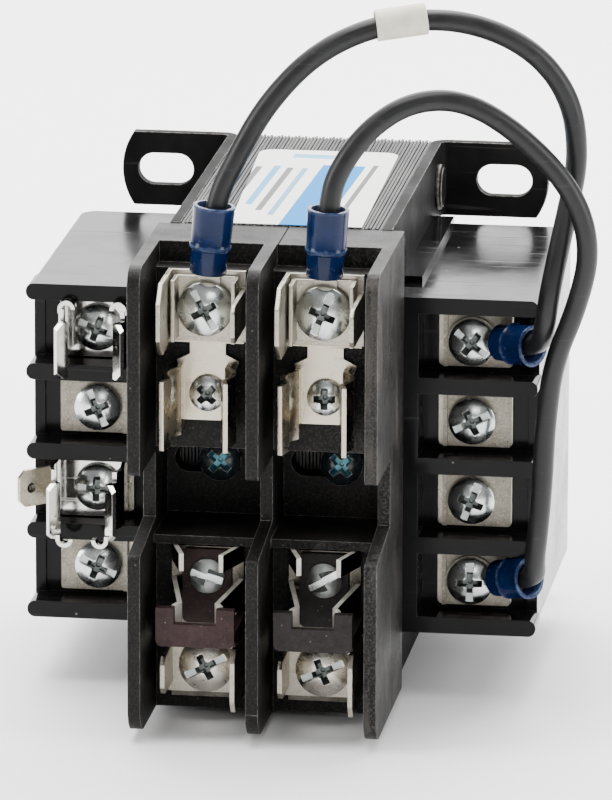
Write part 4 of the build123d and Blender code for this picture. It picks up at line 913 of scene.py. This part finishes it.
leadCurve = {"along": 10, "around": 6, "order": 3}
leads = {
    "leadOuter": {
        "node": "lead_outer", "width": 0.0035, "length": 0.1339, "pieces": ["wire_marker"],
        "points": [
            (-0.00859, -0.0887, 0.04254), (-0.0080, -0.0887, 0.04872), (-0.0046, -0.0880, 0.0560),
            (0.0002, -0.0863, 0.0650), (0.0083, -0.0844, 0.0736), (0.0190, -0.0824, 0.0782),
            (0.0310, -0.0794, 0.0786), (0.0420, -0.0768, 0.0739), (0.0486, -0.0750, 0.0654),
            (0.0500, -0.0740, 0.0548), (0.0480, -0.0739, 0.0450), (0.0464, -0.0749, 0.0368),
            (0.0454, -0.0756, 0.0312), (0.0448, -0.0752, 0.0264), (0.043475, -0.07056, 0.021809),
            (0.039291, -0.067504, 0.021369),
        ],
    },
    "leadInner": {
        "node": "lead_inner", "width": 0.0035, "length": 0.1370, "pieces": [],
        "points": [
            (0.01038, -0.0887, 0.04258), (0.01071, -0.0887, 0.04877), (0.0120, -0.0882, 0.0544),
            (0.0169, -0.0864, 0.0614), (0.0240, -0.0849, 0.0659), (0.0324, -0.0829, 0.0658),
            (0.0414, -0.0806, 0.0597), (0.0496, -0.0788, 0.0504), (0.0525, -0.0776, 0.0406),
            (0.0503, -0.0764, 0.0306), (0.0463, -0.0752, 0.0206), (0.0450, -0.0748, 0.0100),
            (0.0446, -0.0752, -0.0010), (0.0440, -0.0757, -0.0090), (0.0434, -0.0748, -0.0134),
            (0.043232, -0.07056, -0.017841), (0.039133, -0.067504, -0.018788),
        ],
    },
}


def buildLead(name, lead):
    data = bpy.data.curves.new(name, "CURVE")
    data.dimensions = "3D"
    data.resolution_u = leadCurve["along"]
    data.bevel_depth = lead["width"] / 2
    data.bevel_resolution = leadCurve["around"]
    data.use_fill_caps = True
    spline = data.splines.new("NURBS")
    spline.points.add(len(lead["points"]) - 1)
    for point, at in zip(spline.points, lead["points"]):
        point.co = (*at, 1)
    spline.order_u = leadCurve["order"]
    spline.use_endpoint_u = True
    ob = bpy.data.objects.new(name, data)
    bpy.context.collection.objects.link(ob)
    ob.data.materials.append(mats["leadJacket"])
    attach(ob, "root")
    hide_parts(lead["node"])


for name, lead in leads.items():
    buildLead(name, lead)
print("leads laid")


# core laminations

laminations = {"count": 56, "gap": 0.00019, "jog": 0.0003, "bevel": 0.00008, "frontTilt": 0.5}


def buildLaminations(p):
    low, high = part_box("core_stack")
    pitch = (high.x - low.x) / p["count"]
    bm = bmesh.new()
    for n in range(p["count"]):
        jog = p["jog"] * ((n * 7) % 5 - 2) / 2  # each sheet sits a little forward or back
        size = Vector((pitch - p["gap"], high.y - low.y - p["jog"], high.z - low.z - p["jog"] / 2))
        middle = Vector((low.x + (n + 0.5) * pitch, (low.y + high.y) / 2 + jog / 2, jog / 4))
        bmesh.ops.create_cube(bm, size=1, matrix=Matrix.Translation(middle) @ Matrix.Diagonal((*size, 1)))
    markEdges(bm, roundEdges(bm, bm.edges[:], p["bevel"]))
    ob = meshObject("laminations", bm)
    ob.data.materials.append(mats["coreSteel"])
    ob.data.materials.append(mats["coreFrontShade"])
    # painted shade: faces that look forward take the darker copy of the steel, the rest keep the core steel
    for face in ob.data.polygons:
        face.material_index = 1 if face.normal.y < -p["frontTilt"] else 0
    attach(ob, "root")
    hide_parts("core_stack")


buildLaminations(laminations)
print("laminations stacked")


# blank rating label on the core, with plain colour fields

topLabel = {"corners": [(-8.6, 67.5), (13.4, 67.5), (12.6, 12.2), (-11.4, 12.6)], "level": 40.21,
            "thick": 0.08, "round": 2.6, "roundSteps": 8, "skew": 1.9}
labelFields = [  # x from and to, depth from and to, colour
    ((1.7, 9.0), (23.0, 68.0), (0.025, 0.22, 0.54)),
    ((-9.4, -8.3), (26.0, 62.0), (0.16, 0.16, 0.16)),
    ((-6.4, -5.2), (25.0, 54.0), (0.12, 0.36, 0.6)),
    ((-4.0, -2.9), (26.0, 58.0), (0.17, 0.17, 0.17)),
    ((-1.4, -0.4), (26.0, 61.0), (0.2, 0.36, 0.5)),
    ((10.2, 11.1), (22.0, 59.0), (0.16, 0.16, 0.16)),
    ((-4.5, 2.5), (15.5, 18.5), (0.2, 0.46, 0.68)),
]


def printLabel(mat, fields, skew):
    tree = mat.node_tree
    shader = tree.nodes["Principled BSDF"]
    tone = shader.inputs["Base Color"].links[0].from_socket
    place = tree.nodes.new("ShaderNodeTexCoord")
    square = tree.nodes.new("ShaderNodeMapping")
    square.inputs["Rotation"].default_value = (0, 0, math.radians(skew))
    tree.links.new(place.outputs["Object"], square.inputs["Vector"])
    split = splitNode(tree, square.outputs["Vector"])
    for across, along, colour in fields:
        wide = groupNode(tree, "band", Value=split["X"], Low=across[0] * mm, High=across[1] * mm)
        deep = groupNode(tree, "band", Value=split["Y"], Low=-along[1] * mm, High=-along[0] * mm)
        mask = mathNode(tree, "MULTIPLY", wide.outputs["Mask"], deep.outputs["Mask"])
        tone = mixTone(tree, mask, tone, colour)
    tree.links.new(tone, shader.inputs["Base Color"])


def buildTopLabel(p):
    bm = bmesh.new()
    corners = [bm.verts.new((x * mm, -depth * mm, p["level"] * mm)) for x, depth in p["corners"]]
    bm.faces.new(corners)
    back = sorted(bm.verts, key=lambda v: v.co.y)[-2:]
    bmesh.ops.bevel(bm, geom=back, offset=p["round"] * mm, segments=p["roundSteps"], profile=0.5,
                    affect="VERTICES", material=-1)
    lifted = bmesh.ops.extrude_face_region(bm, geom=bm.faces[:])
    upper = [g for g in lifted["geom"] if isinstance(g, bmesh.types.BMVert)]
    bmesh.ops.translate(bm, vec=(0, 0, p["thick"] * mm), verts=upper)
    bmesh.ops.recalc_face_normals(bm, faces=bm.faces)
    ob = meshObject("topLabel", bm)
    ob.data.materials.append(mats["labelPaper"])
    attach(ob, "root")


printLabel(mats["labelPaper"], labelFields, topLabel["skew"])
buildTopLabel(topLabel)
print("label laid")
